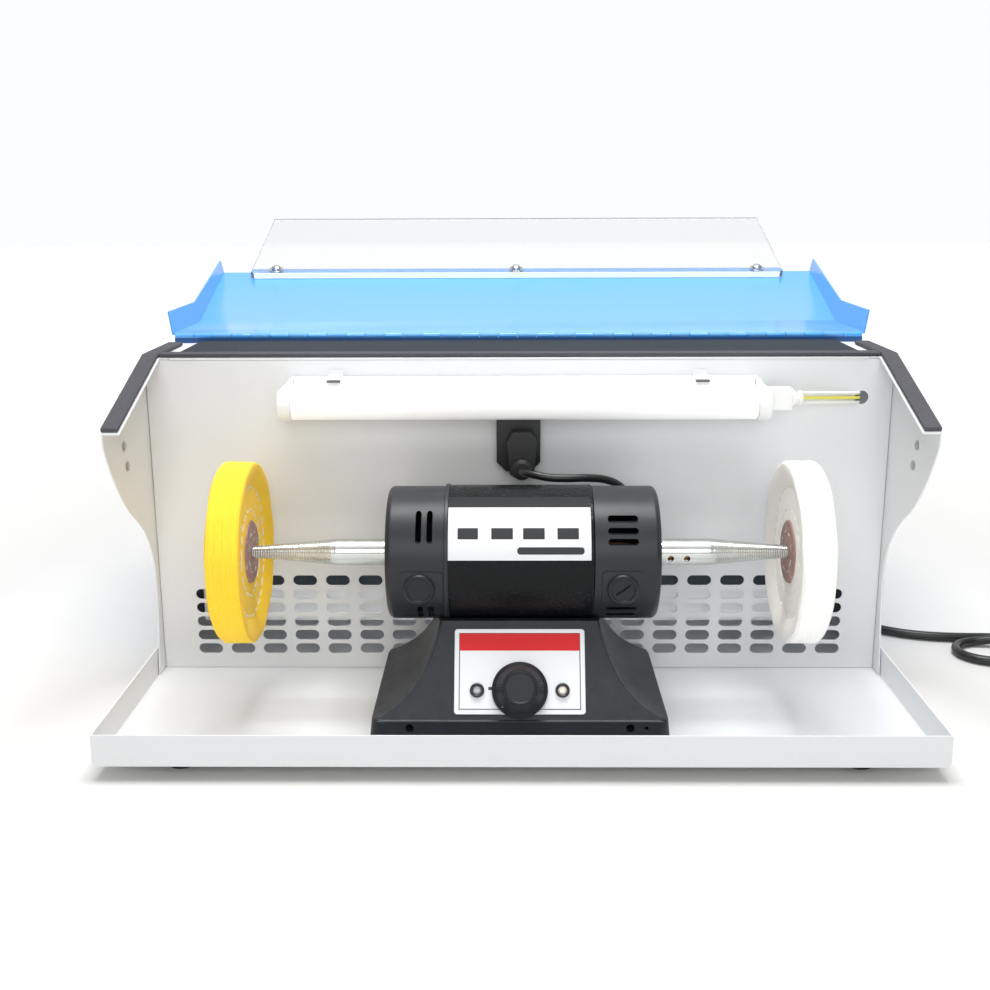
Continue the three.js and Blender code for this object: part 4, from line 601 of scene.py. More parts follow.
def handled_surface():
    """Roughness that varies in soft patches, as on a surface that hands have touched."""
    def fill(make, source):
        patches = make.noise(source["Vector"], source["Scale"], 4.0, 0.65)
        shift = make.maths("MULTIPLY", make.maths("SUBTRACT", patches, 0.5), source["Spread"])
        return {"Roughness": make.maths("ADD", source["Roughness"], shift)}
    return group("Handled surface", [("Vector", "Vector", None), ("Roughness", "Float", 0.5),
                                     ("Spread", "Float", 0.1), ("Scale", "Float", 40.0)],
                 [("Roughness", "Float")], fill)


def uneven_tone():
    """A colour that grows a little lighter and darker in broad patches, with fine specks."""
    def fill(make, source):
        broad = make.noise(source["Vector"], source["Scale"], 3.0)
        fine = make.noise(source["Vector"], make.maths("MULTIPLY", source["Scale"], 31.0), 2.0)
        speck = make.maths("MULTIPLY", make.maths("SUBTRACT", fine, 0.5), 0.5)
        both = make.maths("ADD", make.maths("SUBTRACT", broad, 0.5), speck)
        value = make.maths("ADD", make.maths("MULTIPLY", both, source["Spread"]), 1.0)
        return {"Color": make.add("HueSaturation", {"Color": source["Color"], "Value": value}).outputs[0]}
    return group("Uneven tone", [("Vector", "Vector", None), ("Color", "Color", None), ("Spread", "Float", 0.06),
                                 ("Scale", "Float", 14.0)], [("Color", "Color")], fill)


def settled_dust():
    """A colour with pale dust on the faces that look up, in uneven patches."""
    def fill(make, source):
        up = make.add("SeparateXYZ", {0: make.add("NewGeometry").outputs["Normal"]}).outputs[2]
        share = make.ramp(make.noise(source["Vector"], 120.0, 5.0, 0.7), 0.35, 0.75)
        cover = make.maths("MULTIPLY", make.maths("MULTIPLY", make.ramp(up, 0.2, 0.95), share), source["Amount"])
        return {"Color": make.blend(cover, source["Color"], source["Dust"])}
    return group("Settled dust", [("Vector", "Vector", None), ("Color", "Color", None),
                                  ("Dust", "Color", (0.62, 0.6, 0.57, 1.0)), ("Amount", "Float", 0.2)],
                 [("Color", "Color")], fill)


def cloth_weave():
    """Plain weave in the Y and Z plane: two sets of threads that pass over each other in turn."""
    def fill(make, source):
        parts = make.add("SeparateXYZ", {0: source["Vector"]}).outputs
        waves = [make.maths("SINE", make.maths("MULTIPLY", parts[axis], source["Threads"])) for axis in (1, 2)]
        over = make.maths("MULTIPLY", make.maths("MULTIPLY", *waves), 0.25)
        loose = make.noise(source["Vector"], 380.0, 5.0, 0.7)
        return {"Height": make.maths("ADD", over, make.maths("MULTIPLY", loose, source["Fluff"]))}
    return group("Cloth weave", [("Vector", "Vector", None), ("Threads", "Float", 5200.0), ("Fluff", "Float", 1.2)],
                 [("Height", "Float")], fill)


def crinkle():
    """Height of wrinkle paint: rounded cells, bent by a noise."""
    def fill(make, source):
        bend = make.add("TexNoise", {"Vector": source["Vector"], "Detail": 2.0,
                                     "Scale": make.maths("MULTIPLY", source["Scale"], 0.6)}).outputs["Color"]
        offset = make.add("VectorMath", {0: bend, 3: 0.0011}, operation="SCALE").outputs[0]
        bent = make.add("VectorMath", {0: source["Vector"], 1: offset}, operation="ADD").outputs[0]
        cells = make.add("TexVoronoi", {"Vector": bent, "Scale": source["Scale"], "Smoothness": 0.6},
                         feature="SMOOTH_F1").outputs["Distance"]
        return {"Height": make.maths("POWER", cells, 0.7)}
    return group("Crinkle", [("Vector", "Vector", None), ("Scale", "Float", 620.0)], [("Height", "Float")], fill)


def turning_lines():
    """Height of the fine rings that a lathe tool leaves round the X axis."""
    def fill(make, source):
        flat = make.add("Mapping", {"Vector": source["Vector"], "Scale": (1.0, 0.01, 0.01)}).outputs[0]
        return {"Height": make.noise(flat, source["Scale"], 3.0)}
    return group("Turning lines", [("Vector", "Vector", None), ("Scale", "Float", 2600.0)], [("Height", "Float")],
                 fill)


# Materials

def surface(name, colour, roughness, metallic=0.0, grain=(1500.0, 0.02), tone=0.05, rub=0.08, dust=0.0,
            height=None, pattern=None, rough_pattern=None, **constants):
    """A material of shared groups: grain is (scale, depth in millimetres); height adds another pattern's group
    output, pattern may change the base colour and rough_pattern the roughness. constants are the Principled
    shader's own values."""
    if name in bpy.data.materials:
        return bpy.data.materials[name]
    material = bpy.data.materials.new(name)
    material.use_nodes = True
    material.node_tree.nodes.clear()
    make = Tree(material.node_tree)
    where = make.add("TexCoord").outputs["Object"]
    shade = (*colour[:3], 1.0)
    if pattern is not None:
        shade = pattern(make, where, shade)
    shade = make.use(uneven_tone(), Vector=where, Color=shade, Spread=tone)["Color"]
    if dust:
        shade = make.use(settled_dust(), Vector=where, Color=shade, Amount=dust)["Color"]
    rubbed = make.use(handled_surface(), Vector=where, Roughness=roughness, Spread=rub)["Roughness"]
    if rough_pattern is not None:
        rubbed = rough_pattern(make, where, rubbed)
    relief = {"Height": make.use(moulded_grain(), Vector=where, Scale=grain[0])["Height"],
              "Distance": grain[1] * MM, "Strength": 1.0}
    if height is not None:
        below = make.add("Bump", relief).outputs[0]
        socket, depth = height(make, where)
        relief = {"Height": socket, "Distance": depth * MM, "Strength": 1.0, "Normal": below}
    inputs = {"Base Color": shade, "Roughness": rubbed, "Metallic": metallic,
              "Normal": make.add("Bump", relief).outputs[0]}
    inputs.update({label.replace("_", " "): value for label, value in constants.items()})
    make.add("OutputMaterial", {"Surface": make.add("BsdfPrincipled", inputs).outputs[0]})
    material.diffuse_color = (*colour[:3], 1.0)
    return material


def finishes():
    """The settings of the finishes."""
    return bpy.context.scene.buffer_finish


def cabinet_paint():
    """Pale powder coat with orange peel."""
    return surface("cabinet_powder_coat", finishes().cabinet, 0.42, grain=(1100.0, finishes().peel / MM), tone=0.03,
                   rub=0.1, Coat_Weight=0.15, Coat_Roughness=0.3)


def lid_paint():
    """Glossy blue enamel, a little less red than the slot's own colour."""
    red, green, blue = finishes().lid[:3]
    return surface("lid_enamel", (red * 0.75, green * 0.96, blue), 0.3, grain=(900.0, 0.012), tone=0.03, rub=0.08,
                   Coat_Weight=0.9, Coat_Roughness=0.12)


def hinge_paint():
    """Blue paint of the hinge's fixed leaf, a darker blue than the lid's enamel, in uneven patches."""
    return surface("hinge_enamel", (0.1, 0.37, 0.8), 0.35, grain=(1200.0, 0.015), tone=0.1)


def foam(name, colour):
    """Open-cell foam: fine pits all over."""
    def pits(make, where):
        cells = make.add("TexVoronoi", {"Vector": where, "Scale": 1300.0}).outputs["Distance"]
        return cells, 0.35
    return surface(name, colour, 0.92, grain=(2400.0, 0.1), tone=0.3, height=pits, Sheen_Weight=0.06,
                   Sheen_Roughness=0.5, Specular_IOR_Level=0.1)


def rubber(name, slot, roughness, depth=0.02):
    """Soft matt rubber or flexible cord plastic."""
    return surface(name, colour_of(slot), roughness, grain=(1900.0, depth), tone=0.15, rub=0.12)


def moulded(name, slot, roughness, depth=0.03):
    """Hard plastic with the grain of its mould."""
    return surface(name, colour_of(slot), roughness, grain=(1400.0, depth), tone=0.12, rub=0.12)


def opal():
    """Milky plastic of the lamp's cover, with a faint glow that is painted light standing in for brightness, not a
    lit lamp.
    """
    # The emission is painted light: it brightens the cover, the lamp itself is not lit
    return surface("opal_diffuser", colour_of("lamp_opal"), 0.35, grain=(700.0, 0.01), tone=0.01,
                   Subsurface_Weight=0.25, Subsurface_Radius=(0.01, 0.01, 0.01), Coat_Weight=0.2,
                   Emission_Color=(0.97, 0.98, 1.0, 1.0), Emission_Strength=0.22)


def acrylic():
    """Clear cast acrylic, a little smudged, with sawn edges that are frosted."""
    def frosted(make, where, rubbed):
        normal = make.add("NewGeometry").outputs["True Normal"]
        across = make.add("VectorMath", {0: normal, 1: (0.0, -math.sin(SLOPE), math.cos(SLOPE))},
                          operation="DOT_PRODUCT").outputs["Value"]
        return make.ramp(make.ramp(make.maths("ABSOLUTE", across), 0.8, 0.95), 0.0, 1.0, 0.45, rubbed)
    return surface("clear_cast_acrylic", (0.985, 0.993, 1.0), 0.02, grain=(60.0, 0.002), tone=0.0, rub=0.02,
                   rough_pattern=frosted, Transmission_Weight=1.0, IOR=1.49)


def zinc():
    """Bright zinc plate with a faint green cast and the rings of the lathe."""
    def cast(make, where, shade):
        return make.blend(make.ramp(make.noise(where, 60.0, 2.0), 0.4, 0.75), shade, (0.68, 0.71, 0.69, 1.0))

    def rings(make, where):
        return make.use(turning_lines(), Vector=where)["Height"], 0.03
    return surface("bright_zinc", colour_of("spindle_zinc"), 0.24, 1.0, grain=(1800.0, 0.004), tone=0.1, rub=0.15,
                   height=rings, pattern=cast)


def steel(name, colour, roughness):
    """Bare steel or another bright metal, finely rubbed."""
    return surface(name, colour, roughness, 1.0, grain=(2600.0, 0.006), tone=0.1, rub=0.2)


def wrinkle_paint():
    """Glossy black wrinkle paint of the drum."""
    def cells(make, where):
        return make.use(crinkle(), Vector=where, Scale=640.0)["Height"], 0.28
    return surface("wrinkle_paint", (0.006, 0.0068, 0.0078), 0.27, grain=(2400.0, 0.01), tone=0.1, height=cells,
                   Specular_IOR_Level=0.16)


def textured_black():
    """Finer, duller texture paint of the cast base."""
    def cells(make, where):
        return make.use(crinkle(), Vector=where, Scale=1250.0)["Height"], 0.07
    return surface("fine_texture_paint", (0.018, 0.022, 0.027), 0.42, grain=(2600.0, 0.02), tone=0.12, rub=0.14,
                   height=cells, dust=0.05, Specular_IOR_Level=0.3)


def cotton(name, colour, rim_colour):
    """Stitched cotton: a plain weave with loose fluff, brighter on the cut rim, with a faint glow in its own colour
    that is painted light.
    """
    def shade_rim(make, where, shade):
        centre = placed(AXIS)
        local = make.add("Mapping", {"Vector": where, "Location": (0.0, -centre[1], -centre[2]),
                                     "Scale": (0.0, 1.0, 1.0)}).outputs[0]
        reach = make.add("VectorMath", {0: local}, operation="LENGTH").outputs["Value"]
        edge = bpy.context.scene.buffer_buffs.radius
        return make.blend(make.ramp(reach, edge - 3.4 * MM, edge - 1.8 * MM), shade, (*rim_colour, 1.0))

    def weave(make, where):
        return make.use(cloth_weave(), Vector=where)["Height"], 0.16
    # The faint emission in the cloth's own colour is painted light that brightens the buffs
    return surface(name, colour, 0.9, grain=(1500.0, 0.06), tone=0.1, height=weave, pattern=shade_rim,
                   Sheen_Weight=0.12, Sheen_Roughness=0.5, Specular_IOR_Level=0.1,
                   Emission_Color=(*colour[:3], 1.0), Emission_Strength=0.1)


def leather():
    """Pinkish brown leather with a fine pebbled grain and pale scuffs."""
    def pebbles(make, where):
        cells = make.add("TexVoronoi", {"Vector": where, "Scale": 1500.0}, feature="SMOOTH_F1").outputs["Distance"]
        return cells, 0.12

    def scuffs(make, where, shade):
        share = make.ramp(make.noise(where, 260.0, 4.0, 0.65), 0.52, 0.68, 0.0, 0.7)
        return make.blend(share, shade, (0.68, 0.5, 0.44, 1.0))
    return surface("buff_leather", (0.4, 0.235, 0.2), 0.62, grain=(700.0, 0.05), tone=0.3, height=pebbles,
                   pattern=scuffs)


def plain(name, colour, roughness, depth=0.005, **constants):
    """Smooth paint, ink or plastic."""
    return surface(name, colour, roughness, grain=(2000.0, depth), tone=0.04, rub=0.06, **constants)


# Cords

LATHE_ROUTE = (
    (1.9, 105.4, 136.2), (2.1, 101.5, 136.4), (4.2, 96.6, 136.9), (9.6, 92.8, 136.6), (17, 91.2, 135.6),
    (26.4, 91.4, 135.2), (36.6, 93.5, 134.9), (46.2, 97.2, 133.4), (53.6, 101, 130.2), (59, 105.2, 125),
    (62.2, 109.4, 118.4), (63, 113, 110.4), (61.4, 115.8, 101.4), (57.4, 117.8, 92), (52, 118.9, 82.8),
    (46.4, 118.8, 74), (41.4, 117.2, 66), (38.2, 114.9, 60.4),
)
MAINS_ROUTE = (
    (150, 226.6, 58), (150, 235.5, 57.8), (150.4, 246, 55.8), (153.4, 258, 49), (160.8, 267.6, 38.6),
    (171.6, 272.4, 27), (184, 271.4, 16.4), (196, 264.6, 8.6), (207.4, 253.6, 4.4), (218, 240, 3.2),
    (229, 226, 3.2), (241, 214.6, 3.2), (255, 206, 3.2), (271, 200.8, 3.2), (290, 198.6, 3.2),
    (308, 198, 3.2), (323, 195.4, 3.2), (334.4, 188, 3.2), (339.4, 177, 3.2), (337, 165.8, 3.2),
    (328, 158.6, 3.2), (315, 155.8, 3.2), (301, 155.6, 3.2), (289.6, 158.4, 3.2), (281.4, 166, 3.2),
    (279.4, 176, 3.2), (284, 185.6, 3.2), (293.4, 190, 3.4), (304.6, 189.4, 4.8), (316.4, 186, 7.6),
    (328, 181, 9.8), (339, 176, 10), (350, 172, 8.2), (360, 170.3, 5), (369, 170.1, 3.3),
    (378.9, 170.1, 3.2),
)
COIL_CENTRE = (385.0, 127.0)
COIL_INNER = 24.2
COIL_STEP = 6.3                      # from one turn to the next, sideways and upwards
COIL_TURNS = 6.25
COIL_SIDES = 48
COIL_FLOOR = 3.2
COIL_EXIT = 6.1                      # from the coil's last point to the straight end of the lead
PLUG_CORD = (64.3, 7.3)              # y and z where the lead enters its plug


def coil():
    """Two flat layers of turns: the radius falls by one step for each turn and then rises again, and the height
    changes from the lower layer to the upper one in a smooth step."""
    turn = np.linspace(0, COIL_TURNS, round(COIL_TURNS * COIL_SIDES) + 1)
    radius = COIL_INNER + COIL_STEP * (np.abs(turn - 3.25) - 0.25)
    angle = math.pi / 2 - turn * TAU
    height = COIL_FLOOR + COIL_STEP * smooth_step((turn - 3) * 2)
    return np.stack([COIL_CENTRE[0] + radius * np.cos(angle), COIL_CENTRE[1] + radius * np.sin(angle), height], 1)


def cord_curve(name, points, diameter, material, body=CABINET):
    """A round cord as a curve of one open spline through many points."""
    curve = bpy.data.curves.new(name, "CURVE")
    curve.dimensions = "3D"
    curve.bevel_depth, curve.bevel_resolution, curve.use_fill_caps = diameter / 2, 5, True
    spline = curve.splines.new("POLY")
    points = placed(points)
    spline.points.add(len(points) - 1)
    spline.points.foreach_set("co", np.hstack([points, np.ones((len(points), 1))]).ravel())
    spline.use_smooth = True
    curve.materials.append(material)
    item = in_scene(name, curve)
    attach(item, body)
    return item


def make_cords():
    """Lays the mains lead with its coil, and the machine's cord."""
    settings = bpy.context.scene.buffer_cords
    black = rubber("cord_jacket", "cord_rubber", 0.34, 0.008)
    wound = coil()
    last = wound[-1]
    shares = np.array([0.0, 0.2, 0.5, 0.8, 1.0])
    down = last[2] + (PLUG_CORD[1] - last[2]) * np.clip((shares - 0.2) / 0.6, 0, 1)
    start = last[1] - COIL_EXIT
    end = np.stack([np.full(5, last[0]), start + (PLUG_CORD[0] - start) * shares, down], 1)
    lead = np.vstack([smooth_route(MAINS_ROUTE), wound, smooth_route(end, 6)])
    mains = cord_curve("mains_lead", lead, settings.mains_diameter, black)
    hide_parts("mains_cord", "mains_coil", "mains_cord_end")
    plug = make_mains_plug()
    machine = cord_curve("machine_cord", smooth_route(LATHE_ROUTE), settings.lathe_diameter, black)
    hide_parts("lathe_cord")


def make_mains_plug():
    """Rounds the edges of the two-pin plug."""
    return eased_copy("mains_plug", 1.1, rubber("plug_body", "plug_rubber", 0.5), segments=3)


# Cabinet

HOOD_RUN = 82.0                       # from the back panel to the front of the cheeks
CHEEK_NOSE = 6.8
RIVETS = ((82.0, 155.4), (86.0, 143.5))   # y and z on each cheek


def cheek_outline():
    """The ogee outline of a cheek in y and z: straight at the back and top, three cubic curves in front."""
    bottom, back, set_back = CHEEK[0][2], CHEEK[1][1], PANEL[0][1]
    top = CHEEK[1][2]
    front = set_back - HOOD_RUN
    drop = HOOD_RUN * math.tan(SLOPE)
    nose = (front, top - drop - CHEEK_NOSE)
    waist, belly, toe = (92.0, 113.0), (125.0, 65.0), (118.4, bottom)
    run, rise = waist[0] - front, nose[1] - waist[1]
    reach, fall = belly[0] - waist[0], waist[1] - belly[1]
    low = belly[1] - bottom
    first = bezier(nose, (front + run * 0.22, nose[1] - rise * 0.4),
                   (waist[0] - run * 0.35, waist[1] + rise * 0.19), waist, 24)
    second = bezier(waist, (waist[0] + reach * 0.46, waist[1] - fall * 0.2),
                    (belly[0], belly[1] + fall * 0.52), belly, 24)[1:]
    third = bezier(belly, (belly[0], belly[1] - low * 0.3),
                   (toe[0] + (belly[0] - toe[0]) * 0.3, bottom + low * 0.3), toe, 12)[1:]
    straight = np.array([(back, bottom), (back, top), (set_back, top), (front, top - drop)])
    return np.vstack([straight, first, second, third])


def cheek_shapes():
    """The right-hand cheek: its wall, and the two flanges folded inwards along its top."""
    x0, x1 = CHEEK[0][0], CHEEK[1][0]
    wall = slab(cheek_outline(), x1 - SHEET, x1, 0.35, RUN_ACROSS)
    top, set_back = CHEEK[1][2], PANEL[0][1]
    front = set_back - HOOD_RUN
    drop = HOOD_RUN * math.tan(SLOPE)
    ease = 0.03
    slope = [(front + ease, top - drop - ease), (set_back, top - ease), (set_back, top - SHEET),
             (front + ease, top - drop - SHEET / math.cos(SLOPE))]
    flange = slab(slope, x1 - 10.0, x1 - SHEET / 2, 0.2, RUN_ACROSS)
    chamber = [(set_back, top - SHEET), (set_back, top - ease), (CHEEK[1][1] - SHEET, top - ease),
               (CHEEK[1][1] - SHEET, top - SHEET)]
    level = slab(chamber, x0, x1 - SHEET / 2, 0.2, RUN_ACROSS)
    return [wall, flange, level]


def rivet(y, z):
    """A domed pop rivet with a dimple, its head inside the right-hand cheek and its tail outside."""
    dome = [(0, 2.7), (0.35, 2.75), (0.8, 2.3), (1.15, 1.5), (1.2, 0.95), (0.8, 0.75), (0.75, 0)]
    tail = [(-SHEET - 1.3, 0), (-SHEET - 1.2, 1.4), (-SHEET - 0.6, 1.9), (-SHEET, 2.0)]
    return turned([(-along, radius) for along, radius in tail + dome], 24, "x", (CHEEK[1][0] - SHEET, y, z))


def make_tray_and_cheeks():
    """Builds the tray, the cheeks with their rivets, the foam strips and the feet."""
    paint = cabinet_paint()
    eased_copy("tray", 0.45, paint)
    for side in ("left", "right"):
        cheek = made("cheek_" + side, *sided(side, *cheek_shapes()))
        dressed(cheek, paint, stands_for=("side_panel_" + side,))
        rivets = made("cheek_rivets_" + side, *sided(side, *[rivet(y, z) for y, z in RIVETS]))
        dressed(rivets, steel("rivet_steel", (0.5, 0.5, 0.52), 0.38))
    lining = foam("strip_foam", colour_of("edge_foam"))
    for node in ("edge_strip_left", "edge_strip_right", "top_edge_strip"):
        eased_copy(node, 0.5, lining)
    for side in ("left", "right"):
        for end in ("front", "back"):
            make_foot(f"cabinet_foot_{end}_{side}", 1.2)
            make_foot(f"lathe_foot_{end}_{side}", 0.8)


def make_foot(node, corner):
    """A turned rubber foot with round edges and a shallow recess below."""
    (x0, y0, z0), (x1, y1, z1) = span(node)
    radius, recess = (x1 - x0) / 2, z0 + 0.8
    profile = filleted([(recess, 0), (recess, radius * 0.35), (z0, radius * 0.45), (z0, radius * 0.86),
                        (z1, radius), (z1, 0)], (0, 0.3, 0.4, corner, 0.4, 0), closed=False)
    foot = made(node + "_turned", turned(profile, 40, "z", ((x0 + x1) / 2, (y0 + y1) / 2, 0)))
    dressed(foot, rubber("foot_rubber_black", "foot_rubber", 0.7), stands_for=(node,))


SLOT = (14.2, 6.3)
SLOT_PITCH = (19.44, 8.54)
SLOT_COLUMNS, SLOT_ROWS = 20, 6
SLOT_LOWEST = 21.3
WIRE_HOLE = (195.3, 173.1, 3.9)       # x, z and radius
WIRE_RADIUS = 0.92
FOLD_SHORT = 13.9                     # how much the fold on top stops short of the panel's sides
VENT_RINGS, VENT_FIRST, VENT_STEP = 4, 24.0, 10.0
VENT_HALF, VENT_SHARE = 2.5, 0.8      # half the width, and the open share of a quarter turn


def slot_shapes():
    """Cutters of every slot: one round-ended outline of half circles and straights, shifted by whole pitches."""
    radius, run = SLOT[1] / 2, (SLOT[0] - SLOT[1]) / 2
    angle = (np.arange(24) + 0.5) / 24 * TAU
    outline = np.stack([radius * np.cos(angle) + run * np.sign(np.cos(angle)), radius * np.sin(angle)], 1)
    y0, y1 = PANEL[0][1] - SHEET, PANEL[0][1] + SHEET * 2
    shapes = []
    for row in range(SLOT_ROWS):
        short = 1 if row == SLOT_ROWS - 1 else 0
        for column in range(short, SLOT_COLUMNS - short):
            x = (column - (SLOT_COLUMNS - 1) / 2) * SLOT_PITCH[0]
            shapes.append(slab(outline + (x, SLOT_LOWEST + row * SLOT_PITCH[1]), y0, y1, 0, RUN_BACK))
    return shapes


def make_back_panel():
    """Builds the slotted panel with its folded top, outlet cut-out and wire hole."""
    half, top = PANEL[1][0], CHEEK[1][2]
    bottom, y = PANEL[0][2], PANEL[0][1]
    middle = [(half, bottom), (half, top - 1.3), (-half, top - 1.3), (-half, bottom)]
    panel = made("slotted_panel", slab(middle, y, y + SHEET, 0, RUN_BACK))
    wire = rod(y - SHEET, y + SHEET * 2, WIRE_HOLE[2], 32, "y", (WIRE_HOLE[0], 0, WIRE_HOLE[1]))
    low, high = span("outlet_socket")
    opening = slab(oblong(low[0] + 2, high[0] - 2, low[2] + 2, high[2] - 2), y - SHEET, y + SHEET * 2, 0, RUN_BACK)
    cut_from(panel, *slot_shapes(), wire, opening)
    dressed(eased(panel, 0.18), cabinet_paint(), stands_for=("grille_panel",))
    inner = half - FOLD_SHORT
    fold = [(y, top - 1.6), (y, top - 0.35), (y + 0.35, top - 0.02), (y + 12, top - 0.02), (y + 12, top - SHEET),
            (y + SHEET, top - SHEET), (y + SHEET, top - 1.6)]
    lip = made("slotted_panel_fold", slab(fold, -inner, inner, 0.1, RUN_ACROSS))
    dressed(lip, cabinet_paint())


def make_rear():
    """Builds the rear wall with its arc vents, the fan, shelf and filter, the switch and the strain relief."""
    fan, gland, switch = span("fan_frame"), span("cord_gland"), span("switch_frame")
    y0, y1 = WALL[0][1], WALL[1][1]
    wall = made("rear_wall_plate", slab(oblong(WALL[0][0], WALL[1][0], WALL[0][2], WALL[1][2]), y0, y1, 0, RUN_BACK))
    tools = [arc_slot(VENT_FIRST + VENT_STEP * ring, quarter * math.pi / 2 + math.pi / 2,
                      (fan[0][2] + fan[1][2]) / 2, y0, y1) for ring in range(VENT_RINGS) for quarter in range(4)]
    tools.append(rod(y0 - 1, y1 + 1, 5.5, 32, "y",
                     ((gland[0][0] + gland[1][0]) / 2, 0, (gland[0][2] + gland[1][2]) / 2)))
    tools.append(slab(rectangle((switch[1][0] - switch[0][0]) / 2 - 1.7, (switch[1][2] - switch[0][2]) / 2 - 1.7, 0,
                                ((switch[0][0] + switch[1][0]) / 2, (switch[0][2] + switch[1][2]) / 2)),
                      y0 - 1, y1 + 1, 0, RUN_BACK))
    cut_from(wall, *tools)
    dressed(eased(wall, 0.18), cabinet_paint(), stands_for=("rear_wall",))
    eased_copy("fan_shelf", 0.3, cabinet_paint())
    black = moulded("fan_plastic_black", "fan_plastic", 0.5)
    eased_copy("fan_frame", 0.5, black)
    painted(black, "fan_rotor")
    sponge = foam("filter_foam_dark", (0.034, 0.042, 0.052))
    eased_copy("filter_foam", 1.0, sponge)
    hard = moulded("switch_plastic_black", "socket_plastic", 0.35, 0.01)
    eased_copy("switch_frame", 0.5, hard)
    eased_copy("switch_rocker", 0.4, hard, body="rocker")
    make_gland(gland)


def arc_slot(radius, middle, centre_z, y0, y1):
    """A cutter for one arc vent: the outline runs along the outer arc, round an end and back along the inner arc."""
    half = math.pi / 2 * VENT_SHARE / 2
    angle = np.linspace(middle - half, middle + half, 25)
    cap = np.linspace(0, math.pi, 9)[1:-1]

    def end(at, sign):
        way = at + math.pi / 2 * sign
        spoke, forward = (np.array([math.cos(a), math.sin(a)]) for a in (at, way))
        return spoke * radius + VENT_HALF * (np.cos(cap)[:, None] * spoke * sign + np.sin(cap)[:, None] * forward)
    arc = np.stack([np.cos(angle), np.sin(angle)], 1)
    outline = np.vstack([arc * (radius + VENT_HALF), end(angle[-1], 1), arc[::-1] * (radius - VENT_HALF),
                         end(angle[0], -1)]) + (0, centre_z)
    return slab(outline, y0 - 1, y1 + 1, 0, RUN_BACK)


def make_gland(box):
    """A turned strain relief with a flange and ribs that get thinner towards its tail."""
    centre = (box[0] + box[1]) / 2
    y0, y1 = WALL[1][1] + 0.3, box[1][1]
    along = np.linspace(y0 + 3.5, y1, 90)
    share = (along - along[0]) / (along[-1] - along[0])
    ribs = 5.9 - 1.6 * share + 0.35 * np.sign(np.sin(share * 7 * TAU)) * (share < 0.93)
    body = np.stack([along, ribs], 1)
    front = filleted([(box[0][1], 0), (box[0][1], 5.2), (y0, 5.2), (y0, 8), (y0 + 3, 8), (y0 + 3, 6.4)],
                     (0, 0.4, 0.1, 0.4, 0.8, 0), closed=False)
    profile = np.vstack([front, body, [(y1, 0)]])
    relief = made("strain_relief", turned(profile, 40, "y", (centre[0], 0, centre[2])))
    dressed(relief, rubber("relief_rubber", "plug_rubber", 0.55), stands_for=("cord_gland",))


# Lamp and outlet

CLIP_PLACES = (-103.7, 102.8)


def make_lamp():
    """Builds the batten lamp: channel, bowed diffuser, end caps, clips, plug and three wires."""
    eased_copy("lamp_housing", 0.5, plain("lamp_enamel_white", colour_of("lamp_enamel"), 0.3))
    low, high = span("lamp_diffuser")
    back, depth = high[1], high[1] - low[1]
    middle, half = (low[2] + high[2]) / 2, (high[2] - low[2]) / 2
    angle = np.linspace(-math.pi / 2, math.pi / 2, 41)
    bow = np.stack([back - depth * np.cos(angle) ** 0.75, middle + half * np.sin(angle)], 1)
    cover = made("lamp_cover", slab(bow, low[0], high[0], 0.1, RUN_ACROSS))
    dressed(cover, opal(), stands_for=("lamp_diffuser",))
    caps = plain("lamp_cap_white", colour_of("lamp_caps"), 0.35, Subsurface_Weight=0.1)
    for side in ("left", "right"):
        eased_copy("lamp_end_cap_" + side, 0.8, caps, segments=3)
    eased_copy("lamp_plug", 0.9, caps, segments=3)
    make_lamp_clips()
    make_lamp_wires()


def make_lamp_clips():
    """Two white spring clips that hook over the top of the channel, each with a dark strip under its lip: a painted
    shadow of the gap there.
    """
    (_, front, _), (_, back, top) = span("lamp_housing")
    side = filleted([(back, top + 0.2), (front + 2.2, top + 0.2), (front + 1.2, top - 0.6), (front + 0.5, top - 0.4),
                     (front + 1.9, top + 0.8), (back - 0.6, top + 0.8), (back - 0.6, top + 3.4), (back, top + 3.4)],
                    0.2)
    clips = [slab(side, x - 4.1, x + 4.1, 0.12, RUN_ACROSS) for x in CLIP_PLACES]
    # Dark strips in front of the channel's top, under each clip: painted shadow of the gap
    gap_shadows = [slab(oblong(x - 3.9, x + 3.9, top - 1.9, top - 0.9), front - 0.12, front + 0.5, 0, RUN_BACK)
             for x in CLIP_PLACES]
    dressed(made("lamp_clips", *clips), plain("clip_white", (0.8, 0.81, 0.83), 0.3))
    dressed(made("lamp_clip_slits", *gap_shadows), plain("slit_shadow", (0.12, 0.12, 0.13), 0.8))


def make_lamp_wires():
    """Three insulated wires, one over the other, that run level from the lamp's plug into the panel's hole, and the
    dark bush behind it."""
    low, high = span("lamp_plug")
    start, r = high[0] + 0.3, WIRE_RADIUS
    (hole_x, z, hole_radius), y = WIRE_HOLE, PANEL[0][1]
    hole = hole_x - 1.6
    straight = np.linspace((start, (low[1] + high[1]) / 2, z + 2.0), (hole - 1.5 * r, y - 1.3 * r, z + 0.1), 5)
    middle = np.vstack([straight, [(hole, y + 0.5, z), (hole, y + SHEET + 5 * r, z)]])
    colours = {"low": (0.86, 0.86, 0.85), "middle": (0.86, 0.80, 0.13), "high": (0.88, 0.88, 0.88)}
    for step, (place, colour) in enumerate(colours.items()):
        sleeve = plain("wire_sleeve_" + place, colour, 0.4)
        route = smooth_route(middle + (0, 0, (step - 1) * 2.9 * r), 8)
        wire = cord_curve("lamp_wire_" + place, route, 2 * r * MM, sleeve)
        if step == 0:
            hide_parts("lamp_wires")
    bush = rod(y + SHEET + 0.05, y + SHEET + 0.05 + 0.9, hole_radius + 1, 32, "y", (hole_x, 0, z))
    dressed(made("wire_hole_bush", bush), plain("bush_grey", (0.16, 0.165, 0.18), 0.6))


